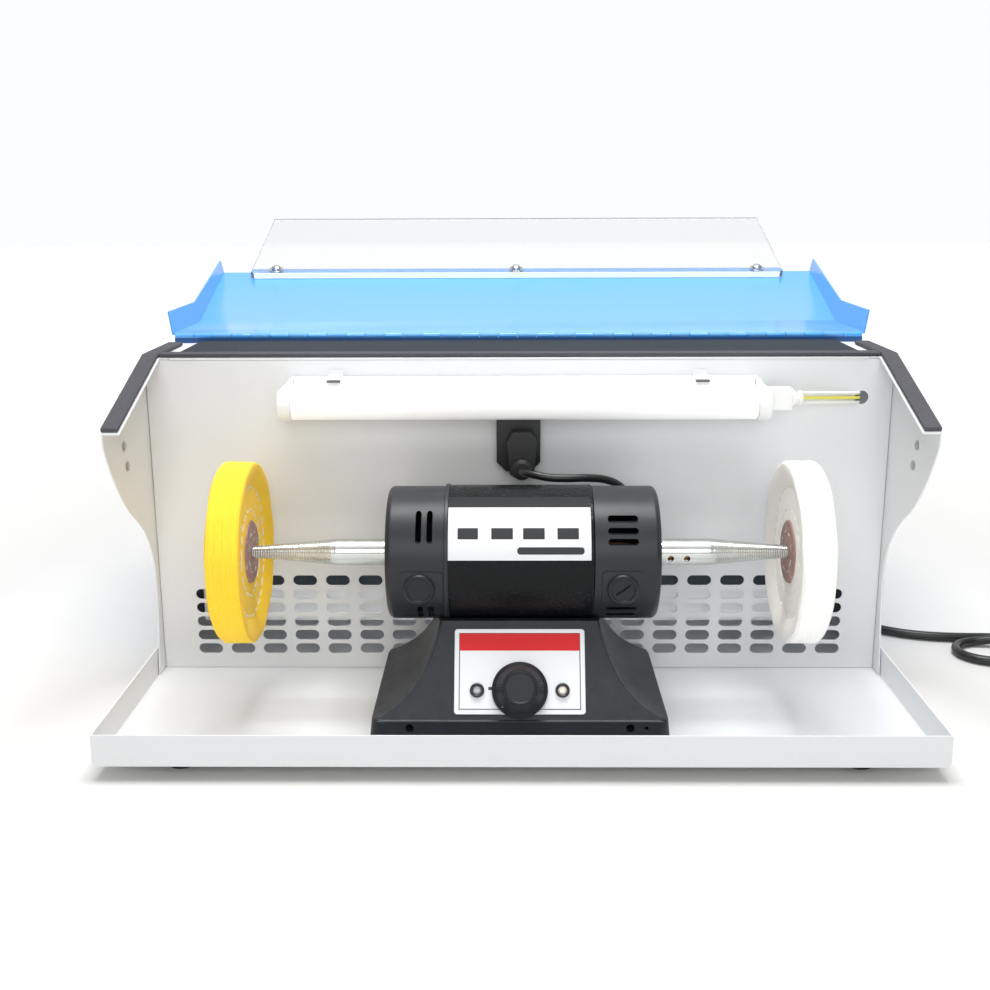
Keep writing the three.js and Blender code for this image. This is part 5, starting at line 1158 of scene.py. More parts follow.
def make_outlet():
    """Rounds the outlet and the plug in it."""
    eased_copy("outlet_socket", 0.8, moulded("outlet_plastic_black", "socket_plastic", 0.4, 0.02),
               segments=3)
    eased_copy("lathe_plug", 1.0, rubber("machine_plug_rubber", "plug_rubber", 0.5), segments=3)


# Hinge, lid and visor

KNUCKLES = 36
KNUCKLE_RADIUS, KNUCKLE_GAP, PIN_RADIUS = 1.9, 0.12, 0.5
VISOR_SCREWS = (-175.0, 0.0, 175.0)
VISOR_OVERLAP, VISOR_LENGTH, FLAP = 12.0, 113.5, 86.5
VISOR_LEVELS = (0.3, 4.3)             # under and over side, above the flap


def make_lid():
    """Builds the piano hinge, the lid, the clear visor and its three screws."""
    paint = lid_paint()
    eased_copy("lid_panel", 0.6, paint, body=LID)
    make_hinge()
    make_visor()
    make_visor_screws()


def make_hinge():
    """Two leaves whose round knuckles take turns along the pin, which the fixed leaf holds."""
    fixed, moving = span("hinge_fixed_leaf"), span("hinge_moving_leaf")
    half, top, back = fixed[1][0], moving[1][2], moving[1][1]
    axis = (0.0, (fixed[0][1] + fixed[1][1]) / 2, top - (fixed[1][1] - fixed[0][1]) / 2 + 0.25)
    pitch = 2 * half / KNUCKLES
    leaves = ([], [])
    for k in range(KNUCKLES):
        x0, x1 = -half + k * pitch + KNUCKLE_GAP, -half + (k + 1) * pitch - KNUCKLE_GAP
        profile = filleted([(x0, PIN_RADIUS), (x0, KNUCKLE_RADIUS), (x1, KNUCKLE_RADIUS), (x1, PIN_RADIUS)], 0.2,
                           closed=False, steps=2)
        leaves[k % 2].append(torus_of(profile, 20, "x", axis))
    leaves[0].append(rod(-half, half, PIN_RADIUS, 12, "x", axis))
    leaves[1].append(slab(oblong(axis[1] + SHEET, back, top - SHEET, top), -half, half, 0.15, RUN_ACROSS))
    # The fixed leaf's plate is a very dark blue: painted shade, as it lies in shadow under the knuckles
    plate = oblong(fixed[0][1], fixed[0][1] + SHEET, fixed[0][2], axis[2] - SHEET)
    dressed(made("hinge_lower_plate", slab(plate, -half, half, 0.15, RUN_ACROSS)),
            plain("hinge_plate_paint", (0.01, 0.075, 0.24), 0.4))
    dressed(made("hinge_lower_leaf", *leaves[0]), hinge_paint(),
            stands_for=("hinge_fixed_leaf",))
    dressed(made("hinge_upper_leaf", *leaves[1]), lid_paint(), body=LID,
            stands_for=("hinge_moving_leaf",))


def make_visor():
    """A flat sheet of clear acrylic with slightly rounded edges. Thin strips along its front and side edges glow
    white: a painted highlight on the frosted saw cuts, where they are seen from the front and the sides."""
    half, y0 = span("visor")[1][0], FLAP - VISOR_OVERLAP
    y1 = y0 + VISOR_LENGTH
    outline = filleted([(half, y1), (-half, y1), (-half, y0), (half, y0)], (0.6, 0.6, 4, 4), steps=8)
    sheet = made("visor_sheet", on_flap(slab(outline, *VISOR_LEVELS, 0.35)))
    cut_from(sheet, *[on_flap(rod(-1, 6, 2, 24, "z", (x, FLAP - VISOR_OVERLAP / 2, 0))) for x in VISOR_SCREWS])
    dressed(sheet, acrylic(), body=LID, stands_for=("visor",))
    # Thin strips on the front and side edges that glow white: painted highlight on the frosted saw cuts
    edges = [slab(oblong(3 - half, half - 3, y0 - 0.12, y0 + 0.3), 0.25, 4.36, 0.1)]
    edges += [slab(oblong(x, x + 0.12, y0 + 4, y1 - 1), 0.7, 3.9, 0) for x in (-half - 0.1, half - 0.02)]
    dressed(made("visor_sawn_edges", *[on_flap(edge) for edge in edges]),
            plain("sawn_acrylic", (0.9, 0.92, 0.95), 0.6, Emission_Color=(0.95, 0.97, 1.0, 1.0),
                  Emission_Strength=0.45, Specular_IOR_Level=0.2), body=LID)


def make_visor_screws():
    """Three pan-head screws, each with a washer on the acrylic and a nut under the lid."""
    washer = filleted([(4.3, 0), (4.3, 5.2), (5.2, 5.2), (5.2, 0)], (0, 0.25, 0.25, 0), closed=False, steps=3)
    head = filleted([(5.2, 0), (5.2, 3.6), (6.6, 3.3), (7.6, 1.9), (7.8, 0)], (0, 0.1, 0.9, 1.4, 0), closed=False)
    shank = [(-3.9, 0), (-3.9, 1.2), (-3.4, 1.7), (5.3, 1.7), (5.3, 0)]
    shapes = []
    for x in VISOR_SCREWS:
        spot = (x, FLAP - VISOR_OVERLAP / 2, 0)
        shapes += [turned(part, 32, "z", spot) for part in (washer, head, shank)]
        shapes.append(slab(ring_of(3.9, 6, spot[:2]), -3.2, -1.02, 0.2))
    dressed(made("visor_screws", *[on_flap(shape) for shape in shapes]),
            steel("visor_screw_steel", (0.62, 0.63, 0.65), 0.25), body=LID)


# Motor

LEFT_CAP, RIGHT_CAP = 31.0, 34.4
CAP_RADIUS = 35.4
BRUSH_Z = 90.4
BRUSH_X = (-51.6, 52.75)
RIGHT_VENTS = ((0.70, 1.6), (0.55, 1.6), (0.41, 1.6), (-0.64, 1.0), (-0.78, 1.0))   # height share, half height
RIGHT_VENT_X = (45.05, 60.7)
LEFT_VENTS = (-51.9, -46.15)
LEFT_VENT_SPANS = ((0.39, 0.80), (-0.86, -0.6))
LABEL_X = (-36.7, 36.5)
LABEL_BOXES = ((-31.8, -21.2), (-14.6, -3.4), (1.6, 12.8), (19.1, 30.2))


def degrees(*angles):
    """Angles in degrees as radians."""
    return tuple(math.radians(angle) for angle in angles)


def cap_profile(length):
    """The closed section of an end cap, from its open rim to its rounded end and back inside."""
    outer = filleted([(0.3, CAP_RADIUS), (length, CAP_RADIUS), (length, 6.0)], (0, 3.2, 0), closed=False, steps=12)
    inside = [(length - 3.0, 6.0), (length - 3.0, CAP_RADIUS - 7.5), (length - 7.0, CAP_RADIUS - 3.2),
              (0.3, CAP_RADIUS - 3.2)]
    return np.vstack([outer, inside])


def vent_cut(x0, x1, z0, z1, corner=1.55):
    """A cutter for one round-cornered vent through the front of a cap, and the same at the back."""
    outline = rectangle((x1 - x0) / 2, (z1 - z0) / 2, corner, ((x0 + x1) / 2, AXIS[2] + (z0 + z1) / 2), 4)
    reach = CAP_RADIUS + 1
    return [slab(outline, AXIS[1] - reach, AXIS[1] - reach + 22, 0, RUN_BACK),
            slab(outline, AXIS[1] + reach - 22, AXIS[1] + reach, 0, RUN_BACK)]


def make_motor():
    """Builds the drum with its bare label, the vented end caps, the brush caps and the works inside."""
    make_drum()
    make_label()
    make_end_caps()
    make_brush_caps()
    painted(steel("stack_steel", colour_of("core_steel"), 0.5), "stator")
    painted(steel("ground_steel", colour_of("bearing_steel"), 0.25), "bearing_left", "bearing_right")
    painted(steel("copper_and_steel", (0.45, 0.2, 0.09), 0.4), "armature")


def make_drum():
    """A turned shell with rounded rims."""
    x0, x1, r = DRUM[0][0], DRUM[1][0], DRUM_RADIUS
    outer = filleted([(x0, r - 1.1), (x0, r), (x1, r), (x1, r - 1.1)], (0, 0.5, 0.5, 0), closed=False, steps=4)
    dressed(made("drum_shell", torus_of(outer, 180, "x", AXLE)), wrinkle_paint(),
            stands_for=("motor_drum",))


def make_label():
    """A bare printed label wrapped on the drum: a dark band, a white field, four dark boxes and a pill."""
    white = plain("label_white", (0.76, 0.77, 0.79), 0.4, Specular_IOR_Level=0.25)
    grey = plain("label_grey", (0.035, 0.036, 0.04), 0.5, Specular_IOR_Level=0.25)
    black = plain("label_black", (0.014, 0.015, 0.017), 0.55, Specular_IOR_Level=0.2)
    low, high, ink = DRUM_RADIUS - 0.2, DRUM_RADIUS + 0.12, DRUM_RADIUS + 0.17
    dressed(made("label_field", drum_patch(LABEL_X, degrees(9.2, 55.8), low, high, 0, (4, 40))), white)
    dressed(made("label_band", drum_patch(LABEL_X, degrees(55.8, 69), low, high, 0, (4, 14))), black)
    boxes = [drum_patch(x, degrees(26.4, 36.1), DRUM_RADIUS, ink, 0.3, (8, 10)) for x in LABEL_BOXES]
    pill = drum_patch((-1.4, 33.0), degrees(14, 20.2), DRUM_RADIUS, ink, 1.8, (12, 16))
    dressed(made("label_boxes", *boxes, pill), grey)


def collar(x0, x1):
    """A thin band round the motor that stands a little over the drum."""
    ring = filleted([(x0, CAP_RADIUS - 1), (x0, DRUM_RADIUS + 0.6), (x1, DRUM_RADIUS + 0.6), (x1, CAP_RADIUS - 1)],
                    (0, 0.4, 0.4, 0), closed=False)
    return torus_of(ring, 160, "x", AXLE)


def pad(x0, x1, low, high):
    """A raised flat pad on an end cap, under its brush cap."""
    return drum_patch((x0, x1), degrees(low, high), CAP_RADIUS - 1.5, CAP_RADIUS + 0.8, 1.8, (20, 20))


def make_end_caps():
    """Turned cups with rounded ends, cut by their vents, with a flat pad round each brush cap."""
    paint = surface("cap_satin_black", (0.018, 0.021, 0.025), 0.42, grain=(1500.0, 0.03), tone=0.12, rub=0.14,
                    dust=0.02, Coat_Weight=0.1, Coat_Roughness=0.3, Specular_IOR_Level=0.3)
    x0, face = DRUM[0][0], DRUM[1][0]
    right = made("end_cap_right_turned", torus_of(cap_profile(RIGHT_CAP), 160, "x", (face, AXIS[1], AXIS[2])))
    cut_from(right, *[cut for share, half in RIGHT_VENTS for cut in
                      vent_cut(*RIGHT_VENT_X, share * CAP_RADIUS - half, share * CAP_RADIUS + half, half - 0.05)])
    dressed(right, paint, stands_for=("end_cap_right",))
    left = made("end_cap_left_turned", mirrored(torus_of(cap_profile(LEFT_CAP), 160, "x", (-x0, AXIS[1], AXIS[2]))))
    cut_from(left, *[cut for x in LEFT_VENTS for low, high in LEFT_VENT_SPANS for cut in
                     vent_cut(x - 1.5, x + 1.5, low * CAP_RADIUS, high * CAP_RADIUS, 1.4)])
    dressed(left, paint, stands_for=("end_cap_left",))
    trim = [collar(x0 - 0.7, x0 + 1.5), pad(x0 - 23, x0 - 1.2, -31, -0.5), pad(face + 4, face + 24.5, -31.5, 0)]
    dressed(made("end_cap_trim", *trim), paint)


def make_brush_caps():
    """Two discs over the brush holders: a plain one at the left and a slotted one at the right."""
    plastic = surface("brush_cap_plastic", (0.014, 0.016, 0.019), 0.4, grain=(1400.0, 0.01), tone=0.1,
                      Specular_IOR_Level=0.3)
    face = AXIS[1] - CAP_RADIUS - 2.2
    profile = filleted([(face + 0.6, 0), (face + 0.6, 5.9), (face, 6.3), (face, 7.3), (face + 0.9, 8),
                        (face + 8, 8), (face + 8, 0)], (0, 0.2, 0.3, 0.4, 0.4, 0.2, 0), closed=False)
    for side, x in zip(("left", "right"), BRUSH_X):
        cap = made("brush_cap_" + side + "_turned", turned(profile, 64, "y", (x, 0, BRUSH_Z)))
        if side == "right":
            groove = swung(rectangle(4.4, 0.6, 0.3), math.radians(36)) + (x, BRUSH_Z)
            cut_from(cap, slab(groove, face - 1, face + 2, 0, RUN_BACK))
        dressed(cap, plastic, stands_for=("brush_cap_" + side,))


# Spindles and buffs

SPINDLE_RADIUS, SLEEVE, SHOULDER, TAPER, TIP = 7.0, 25.6, 0.6, 58.2, 2.0
TAPER_RADIUS, SLEEVE_REACH = 6.96, 2.4
THREAD_PITCH, THREAD_DEPTH = 0.95, 0.26
SET_SCREWS = (4.8, 13.4)
BUFF_INNER, BUFF_THICK, LEATHER_RADIUS, LEATHER = 140.9, 17.3, 16.8, 1.6
DISH, DISH_START, DISH_END = 3.4, 46.0, 33.0
CLENCH_RING = 11.0


def spindle_shape(start):
    """The right-hand spindle: a turned sleeve and a taper whose radius is cut by a screw thread, a triangle wave of
    the distance along less the angle."""
    sleeve, shoulder, tip = start + SLEEVE, start + SLEEVE + SHOULDER, start + SLEEVE + TAPER
    inner = start - SLEEVE_REACH
    body = filleted([(inner, 5.3), (inner, SPINDLE_RADIUS), (sleeve, SPINDLE_RADIUS), (shoulder, TAPER_RADIUS)],
                    (0, 0.6, 0.2, 0), closed=False)
    along = np.linspace(shoulder, tip, 400)[1:]
    cone = np.stack([along, taper_radius(along, start)], 1)

    def thread(x, angle):
        phase = np.mod(x / THREAD_PITCH - angle / TAU, 1)
        ramp = np.clip((x - shoulder) / 3, 0, 1) * np.clip((tip - 0.5 - x) / 2, 0, 1)
        return (np.abs(phase * 2 - 1) * 2 - 2) / 2 * THREAD_DEPTH * ramp
    profile = np.vstack([[(start + 21, 0), (start + 21, 5.3)], body, cone, [(tip, TIP * 0.7), (tip, 0)]])
    return turned(profile, 64, "x", AXLE, thread)


def spindle_start(side):
    """Distance from the machine's middle to a spindle's inner end."""
    low, high = span("spindle_" + side)
    return low[0] if side == "right" else -high[0]


def make_spindles():
    """Builds both spindles; the set-screw holes are in front on the right-hand one and behind on the other."""
    for side, toward in (("left", 1), ("right", -1)):
        start = spindle_start(side)
        near, far = sorted((AXIS[1] + toward * 4, AXIS[1] + toward * 8))
        holes = [rod(near, far, 1.7, 24, "y", (start + inset, 0, AXIS[2] + toward * 2)) for inset in SET_SCREWS]
        body, *holes = sided(side, spindle_shape(start), *holes)
        item = cut_from(made("spindle_turned_" + side, body), *holes)
        dressed(item, zinc(), body=ROTOR, stands_for=("spindle_" + side,), smooth=50)


def taper_radius(x, start):
    """Radius of the taper at a distance from the machine's centre."""
    shoulder = start + SLEEVE + SHOULDER
    share = (x - shoulder) / (start + SLEEVE + TAPER - shoulder)
    return np.maximum(TAPER_RADIUS + (TIP - TAPER_RADIUS) * share, TIP)


def dish(r):
    """Depth of a buff's face at a radius: full inside, none at the rim, with a smooth step between."""
    return DISH * smooth_step((DISH_START - r) / (DISH_START - DISH_END))


def buff_shape(seed, start):
    """A pad of plies about the X axis. Across a face the thickness dips at each stitch ring, and on the rim the
    radius falls between plies and wanders with the angle, each ply in its own way."""
    settings = bpy.context.scene.buffer_buffs
    radius, fray = settings.radius / MM, settings.fray / MM
    plies = settings.plies
    chance = np.random.default_rng(seed)
    sides, face_rows, rim_rows = 240, 44, plies * 4 + 1
    angle = round_steps(sides)
    wander = sum(chance.uniform(0.05, 0.16) * np.sin(n * angle + chance.uniform(0, TAU)) for n in (3, 5, 8, 13))
    stitch = (settings.outer_stitch / MM, settings.inner_stitch / MM)
    x0, x1, edge = BUFF_INNER, BUFF_INNER + BUFF_THICK, 2.2

    def face(rows, sign, level):
        r = np.linspace(LEATHER_RADIUS - 8, radius - edge, rows)[:, None]
        dip = sum(0.6 * np.exp(-((r - ring) / 1.5) ** 2) * (0.7 + 0.3 * np.cos(angle * 30)) for ring in stitch)
        puff = 0.3 * np.sin(angle * 9 + r * 0.3) * np.clip((r - 20) / 20, 0, 1)
        x = level + sign * (dish(r) + dip - puff * 0.6)
        return x, r * np.ones_like(x)
    near_x, near_r = face(face_rows, 1, x0)
    far_x, far_r = face(face_rows, -1, x1)
    v = np.linspace(0, 1, rim_rows)[:, None]
    index = np.minimum((v * plies).astype(int), plies - 1)[:, 0]
    own = chance.uniform(-1, 1, (plies, 1)) * 0.5 + 0.5 * np.sin(
        angle[None] * chance.integers(4, 15, (plies, 1)) + chance.uniform(0, TAU, (plies, 1)))
    own = own * fray
    valley = (1 - np.abs(np.sin(v * plies * math.pi))) * 0.35
    round_over = edge * (1 - np.sqrt(np.clip(1 - ((np.abs(v - 0.5) * 2 - 0.72) / 0.28).clip(0, 1) ** 2, 0, 1)))
    rim_r = radius - 0.45 + wander[None] + own[index] - valley - round_over
    rim_x = x0 + (x1 - x0) * v + 0.25 * np.sin(angle[None] * 7 + v * 9) * np.sin(v * math.pi)
    near_r = near_r + wander[None] * (near_r / radius) ** 6
    far_r = far_r + wander[None] * (far_r / radius) ** 6
    hole = taper_radius(np.array([x1, x0]), start)[:, None] + 0.35
    inner_x = np.array([x1 - DISH - 1, x0 + DISH + 1])[:, None] * np.ones((2, sides))
    xs = np.vstack([near_x, rim_x, far_x[::-1], inner_x])
    rs = np.vstack([near_r, rim_r, far_r[::-1], hole * np.ones((2, sides))])
    return round_axle(xs, rs, angle).reshape(-1, 3), grid(len(xs), sides, wrap_rows=True).tolist()


def stitch_shapes(seed):
    """Dashed rings of thread sunk in both faces, and a loose thread end that strays in a spiral."""
    settings = bpy.context.scene.buffer_buffs
    chance = np.random.default_rng(seed)
    shapes = []
    for face, sign in ((BUFF_INNER, 1), (BUFF_INNER + BUFF_THICK, -1)):
        for ring, count in ((settings.outer_stitch / MM, 30), (settings.inner_stitch / MM, 20)):
            level = face + sign * (dish(ring) + 0.35)
            start = (np.arange(count) + chance.uniform(-0.08, 0.08, count)) / count * TAU
            end = start + TAU / count * 0.55
            reach = ring + chance.uniform(-0.5, 0.5, (2, count))
            shapes.append(capsules(*[round_axle(level, r, a) for r, a in zip(reach, (start, end))], 0.42))
        turn = np.linspace(0, 1.6, 60)
        path = round_axle(face + sign * (DISH + 0.25), settings.inner_stitch / MM + turn * 6, turn * TAU + seed)
        shapes.append(capsules(path[:-1:3], path[1::3], 0.3))
    return shapes


def leather_shape(level, start):
    """A leather disc with a rounded rim and a raised pressed ring, round the taper."""
    hole = float(taper_radius(level + LEATHER / 2, start)) + 0.4
    x0, x1 = level, level + LEATHER
    profile = filleted([(x0, hole), (x0, LEATHER_RADIUS), (x1, LEATHER_RADIUS), (x1, hole)], (0, 0.5, 0.5, 0),
                       closed=False)
    return torus_of(profile, 64, "x", AXLE, lambda x, angle: 0.25 * np.sin(angle * 5) + 0.12 * np.sin(angle * 11))


def clench_shapes(level, out):
    """A ring of small clenched wires that hold the leather disc."""
    angle = round_steps(8) + 0.2
    return capsules(*[round_axle(level, CLENCH_RING, angle + turn) + (out * 0.1, 0, 0) for turn in (0, 0.24)], 0.45)


def make_buffs():
    """Builds the two stitched buffs with their thread, leather discs and clenched wires."""
    near, far = BUFF_INNER + DISH - 1.0, BUFF_INNER + BUFF_THICK - DISH + 1.0 - LEATHER
    for side, name, slot, colour, rim, seed in (
            ("left", "buff_yellow", "yellow_cotton", finishes().yellow, (0.96, 0.66, 0.05), 3),
            ("right", "buff_white", "white_cotton", finishes().white, (0.93, 0.93, 0.91), 8)):
        start = spindle_start(side)
        dressed(made(name + "_plies", *sided(side, buff_shape(seed, start))), cotton(name + "_cloth", colour, rim),
                body=ROTOR, stands_for=(name,), smooth=70)
        dressed(made(name + "_stitches", *sided(side, *stitch_shapes(seed))),
                plain("stitch_thread", (0.9, 0.88, 0.8), 0.8, 0.05), body=ROTOR)
        discs = [leather_shape(level, start) for level in (near, far)]
        dressed(made(name + "_leather", *sided(side, *discs)), leather(), body=ROTOR)
        wires = sided(side, clench_shapes(near, -1), clench_shapes(far + LEATHER, 1))
        dressed(made(name + "_clenches", *wires), steel("clench_wire", (0.6, 0.58, 0.55), 0.35), body=ROTOR)


# Base and controls

def flare_curve():
    """Half width and height of the flare, from the skirt up to its head: a cubic curve."""
    foot, head = (BASE[1][0] - BASE[0][0]) / 2 - FLARE_INSET, FLARE_HEAD_WIDTH / 2
    controls = [(head + (foot - head) * a, SKIRT_TOP + (FLARE_TOP - SKIRT_TOP) * b) for a, b in FLARE_NECK_SHARES]
    return bezier((foot, SKIRT_TOP + 0.1), *controls, (head, FLARE_TOP), 40)


def base_shape():
    """The base as rounded rectangles stacked in z: a drafted skirt, a rounded step, and a flare whose half width
    follows a cubic curve while its half depth shrinks evenly. Rows are half width, half depth, z and corner."""
    half, centre_y = (BASE[1] - BASE[0]) / 2, (BASE[0][1] + BASE[1][1]) / 2
    skirt = [(half[0], half[1], BASE[0][2], 6.0), (half[0] - 1.0, half[1] - 1.0, SKIRT_TOP - 1.2, 6.0),
             (half[0] - 1.25, half[1] - 1.25, SKIRT_TOP - 0.35, 5.6),
             (half[0] - 1.8, half[1] - 1.8, SKIRT_TOP, 5.2)]
    curve = flare_curve()
    share = (curve[:, 1] - SKIRT_TOP) / (FLARE_TOP - SKIRT_TOP)
    depth = half[1] - FLARE_INSET + (FLARE_HEAD_DEPTH / 2 - half[1] + FLARE_INSET) * share
    flare = np.stack([curve[:, 0], depth, curve[:, 1], np.full(len(curve), 1.5)], 1)
    rows = np.vstack([skirt, flare])
    unit = np.linspace(0, math.pi / 2, 7)
    angle = np.concatenate([unit + quarter * math.pi / 2 for quarter in range(4)])
    sign = np.repeat([(1.0, 1.0), (-1.0, 1.0), (-1.0, -1.0), (1.0, -1.0)], len(unit), axis=0)
    x = sign[:, 0] * (rows[:, :1] - rows[:, 3:]) + np.cos(angle) * rows[:, 3:]
    y = sign[:, 1] * (rows[:, 1:2] - rows[:, 3:]) + np.sin(angle) * rows[:, 3:] + centre_y
    points = np.stack([x, y, np.broadcast_to(rows[:, 2:3], x.shape)], -1)
    count = len(sign)
    faces = grid(len(rows), count).tolist()
    faces += [np.arange(count)[::-1].tolist(), ((len(rows) - 1) * count + np.arange(count)).tolist()]
    return points.reshape(-1, 3), faces


def painted_edge_highlights():
    """Thin pale lines along both front edges of the flare and along the top of the skirt: painted highlights on the
    rounded edges.
    """
    curve = flare_curve()
    foot, curve = curve[0, 0], curve[2:-2]
    front = BASE[0][1] + FLARE_INSET + (curve[:, 1] - SKIRT_TOP) * math.tan(FACE_TILT)
    edge = np.stack([curve[:, 0] - 0.42, front + 0.42, curve[:, 1]], 1)
    across = np.linspace(-foot + 2, foot - 2, 60)
    level = np.stack([across, np.full(60, BASE[0][1] + 1.35), np.full(60, SKIRT_TOP - 0.6)], 1)
    # Pale strips that stand for the highlight on the rounded edges: painted highlight
    highlight_ink = surface("worn_edge", (0.09, 0.1, 0.11), 0.5, grain=(2000.0, 0.05), tone=0.9)
    for name, points in (("right", edge), ("left", edge * (-1, 1, 1)), ("skirt", level)):
        cord_curve("worn_edge_" + name, points, 0.36 * MM, highlight_ink)


def make_base():
    """Builds the cast base with its flared sides, saddle and screw holes."""
    painted_edge_highlights()
    base = made("cast_base", base_shape())
    saddle = rod(-90, 90, DRUM_RADIUS + 0.8, 160, "x", AXLE)
    y, z = BASE[0][1] - 1, SKIRT_TOP - 4
    holes = [rod(y, y + 15, 2.2, 28, "y", (x, 0, z)) for x in (-56.5, 56.5)]
    small = rod(y, y + 9, 1.0, 20, "y", (64.8, 0, z))
    well = on_face(rod(-9.3, 1, 8.5, 40, "z", (0, -9, 0)))
    lamps = [on_face(rod(-7.3, 1, 2.8, 24, "z", (x, -9, 0))) for x in INDICATORS]
    cut_from(base, saddle, *holes, small, well, *lamps)
    dressed(eased(base, 0.25, angle=40), textured_black(), stands_for=("base_housing",))
    eased_copy("lathe_cord_relief", 0.5, rubber("relief_rubber", "plug_rubber", 0.55))


PLATE = (33.75, 22.0)                # half sizes of the control plate
PLATE_RULE = 31.4                    # middle of the thin rule, half width
PLATE_RULE_TOP, PLATE_RULE_LOW = 19.9, -19.6
BANNER_LOW = 10.7
KNOB_DROP = -9.8
KNOB_BASE, KNOB_TOP, KNOB_HEIGHT, KNOB_LIFT = 14.4, 9.0, 12.0, 1.8
INDICATORS = (-22, 22)


def frame_shape(x0, x1, y0, y1, wide, low, high):
    """A thin rectangular rule: four strips that overlap at the corners."""
    strips = [(x0, x1, y1 - wide, y1), (x0, x1, y0, y0 + wide), (x0, x0 + wide, y0, y1), (x1 - wide, x1, y0, y1)]
    return together(*[slab(oblong(*strip), low, high, 0) for strip in strips])


def make_controls():
    """Builds the control plate with its rule and bare banner, the indicators and the speed knob."""
    plate = made("control_plate_face", on_face(slab(rectangle(*PLATE, 1.6), 0, 0.8, 0.25)))
    cuts = [rod(-1, 2, 3.9, 32, "z", (0, KNOB_DROP, 0))]
    cuts += [rod(-1, 2, 2.9, 28, "z", (x, KNOB_DROP, 0)) for x in INDICATORS]
    cut_from(plate, *[on_face(shape) for shape in cuts])
    dressed(plate, plain("plate_lacquer_white", (0.83, 0.845, 0.87), 0.3),
            stands_for=("control_plate",))
    rule = on_face(frame_shape(-PLATE_RULE, PLATE_RULE, PLATE_RULE_LOW, PLATE_RULE_TOP, 0.45, 0.75, 0.84))
    tick = on_face(slab(rectangle(0.9, 0.8, 0, (-15.3, KNOB_DROP + 1.0)), 0.7, 0.85, 0))
    dressed(made("plate_rule", rule, tick), plain("rule_ink", (0.02, 0.022, 0.03), 0.4))
    half, top = PLATE_RULE - 0.3, PLATE_RULE_TOP - 0.3
    banner = on_face(slab(oblong(-half, half, BANNER_LOW, top), 0.7, 0.86, 0))
    ink = plain("banner_ink", finishes().banner, 0.5, Specular_IOR_Level=0.25)
    dressed(made("plate_banner", banner), ink)
    make_indicators()
    make_knob()
    painted(moulded("pot_body", "knob_plastic", 0.5), "potentiometer")


def make_indicators():
    """Two small lamps: a black bezel ring and a domed lens with a frosted core."""
    bezel = moulded("bezel_black", "knob_plastic", 0.3, 0.006)
    ring = filleted([(0.85, 2.3), (2.4, 2.55), (2.7, 3.1), (2.2, 3.7), (0.85, 3.75)], (0, 0.3, 0.4, 0.5, 0),
                    closed=False, steps=4)
    dome = filleted([(-6.6, 0), (-6.6, 2.45), (1.2, 2.45), (1.9, 1.8), (2.25, 0)], (0, 0.3, 0.1, 0.9, 0),
                    closed=False)
    for side, x, colour in zip(("left", "right"), INDICATORS, ((0.36, 0.37, 0.38), (0.80, 0.74, 0.62))):
        spot = (x, KNOB_DROP, 0)
        dressed(made("indicator_bezel_" + side, on_face(torus_of(ring, 48, "z", spot))), bezel,
                stands_for=("indicator_" + side,))
        lens = plain("lens_" + side, colour, 0.15, Coat_Weight=0.8, Coat_Roughness=0.05)
        dressed(made("indicator_lens_" + side, on_face(turned(dome, 40, "z", spot))), lens)


def make_knob():
    """A moulded knob: a wide skirt, a cone with fine grips near its top, and a flat cap with a pointer."""
    low, top = KNOB_LIFT, KNOB_HEIGHT + KNOB_LIFT
    profile = filleted([(low, 3.4), (low, KNOB_BASE), (low + 2.5, KNOB_BASE), (low + 4.2, KNOB_BASE - 2.0),
                        (top - 1.4, KNOB_TOP + 0.4), (top, KNOB_TOP - 1.0), (top - 0.5, KNOB_TOP - 1.8),
                        (top - 0.5, 0)], (0, 0.5, 0.7, 1.0, 0.6, 0.4, 0.3, 0), closed=False, steps=8)
    dense = np.vstack([np.linspace(a, b, 5)[:-1] for a, b in zip(profile[:-1], profile[1:])] + [profile[-1:]])

    def flutes(along, angle):
        grip = np.clip((along - top + 3.6) / 1.2, 0, 1) * np.clip((top - 0.5 - along) / 0.6, 0, 1)
        return -0.26 * grip * (0.5 + 0.5 * np.cos(angle * 40)) ** 0.6
    black = surface("knob_plastic_black", (0.014, 0.015, 0.017), 0.45, grain=(1400.0, 0.02), tone=0.12, rub=0.12,
                    Specular_IOR_Level=0.3)
    knob = made("speed_knob_moulded", on_face(turned(dense, 320, "z", (0, KNOB_DROP, 0), flutes)))
    dressed(knob, black, body=KNOB, stands_for=("speed_knob",), smooth=40)
    line = swung(rectangle(2.2, 0.3, 0.2, (10.6, 0)), math.radians(225)) + (0, KNOB_DROP)
    dressed(made("knob_pointer", on_face(slab(line, low + 3.2, low + 4.45, 0.05))),
            plain("pointer_ink", (0.35, 0.36, 0.38), 0.5), body=KNOB)


# Stage

CAMERA_PLACE = (-0.005779, -0.79503, 0.28963)
CAMERA_DIP, CAMERA_YAW, CAMERA_ROLL = 0.2428, -0.0111, -0.0036
FLOOR_REACH = 6000.0
FLOOR_GLOW_REACH, FLOOR_GLOW = (0.4, 1.2), 0.66   # metres from the middle, and the strength at the far one
CHAMBER = LIP[1] + PANEL[0][1] * MM
LIGHTS = (                            # name, place, target, size and the setting of its power
    ("softbox", (0, -0.6, 1.35), (0, 0, 0.05), (1.3, 0.8), "softbox"),
    ("top_light", (0, -0.12, 1.5), (0, -0.1, 0.05), (0.9, 0.5), "top"),
    ("front_fill", (0, -1.3, 0.62), (0, 0, 0.1), (0.9, 0.6), "fill"),
    ("chamber_glow", (0, CHAMBER + 0.005, 0.12), (0, CHAMBER + 0.03, 0.06), (0.36, 0.008), "glow"),
)


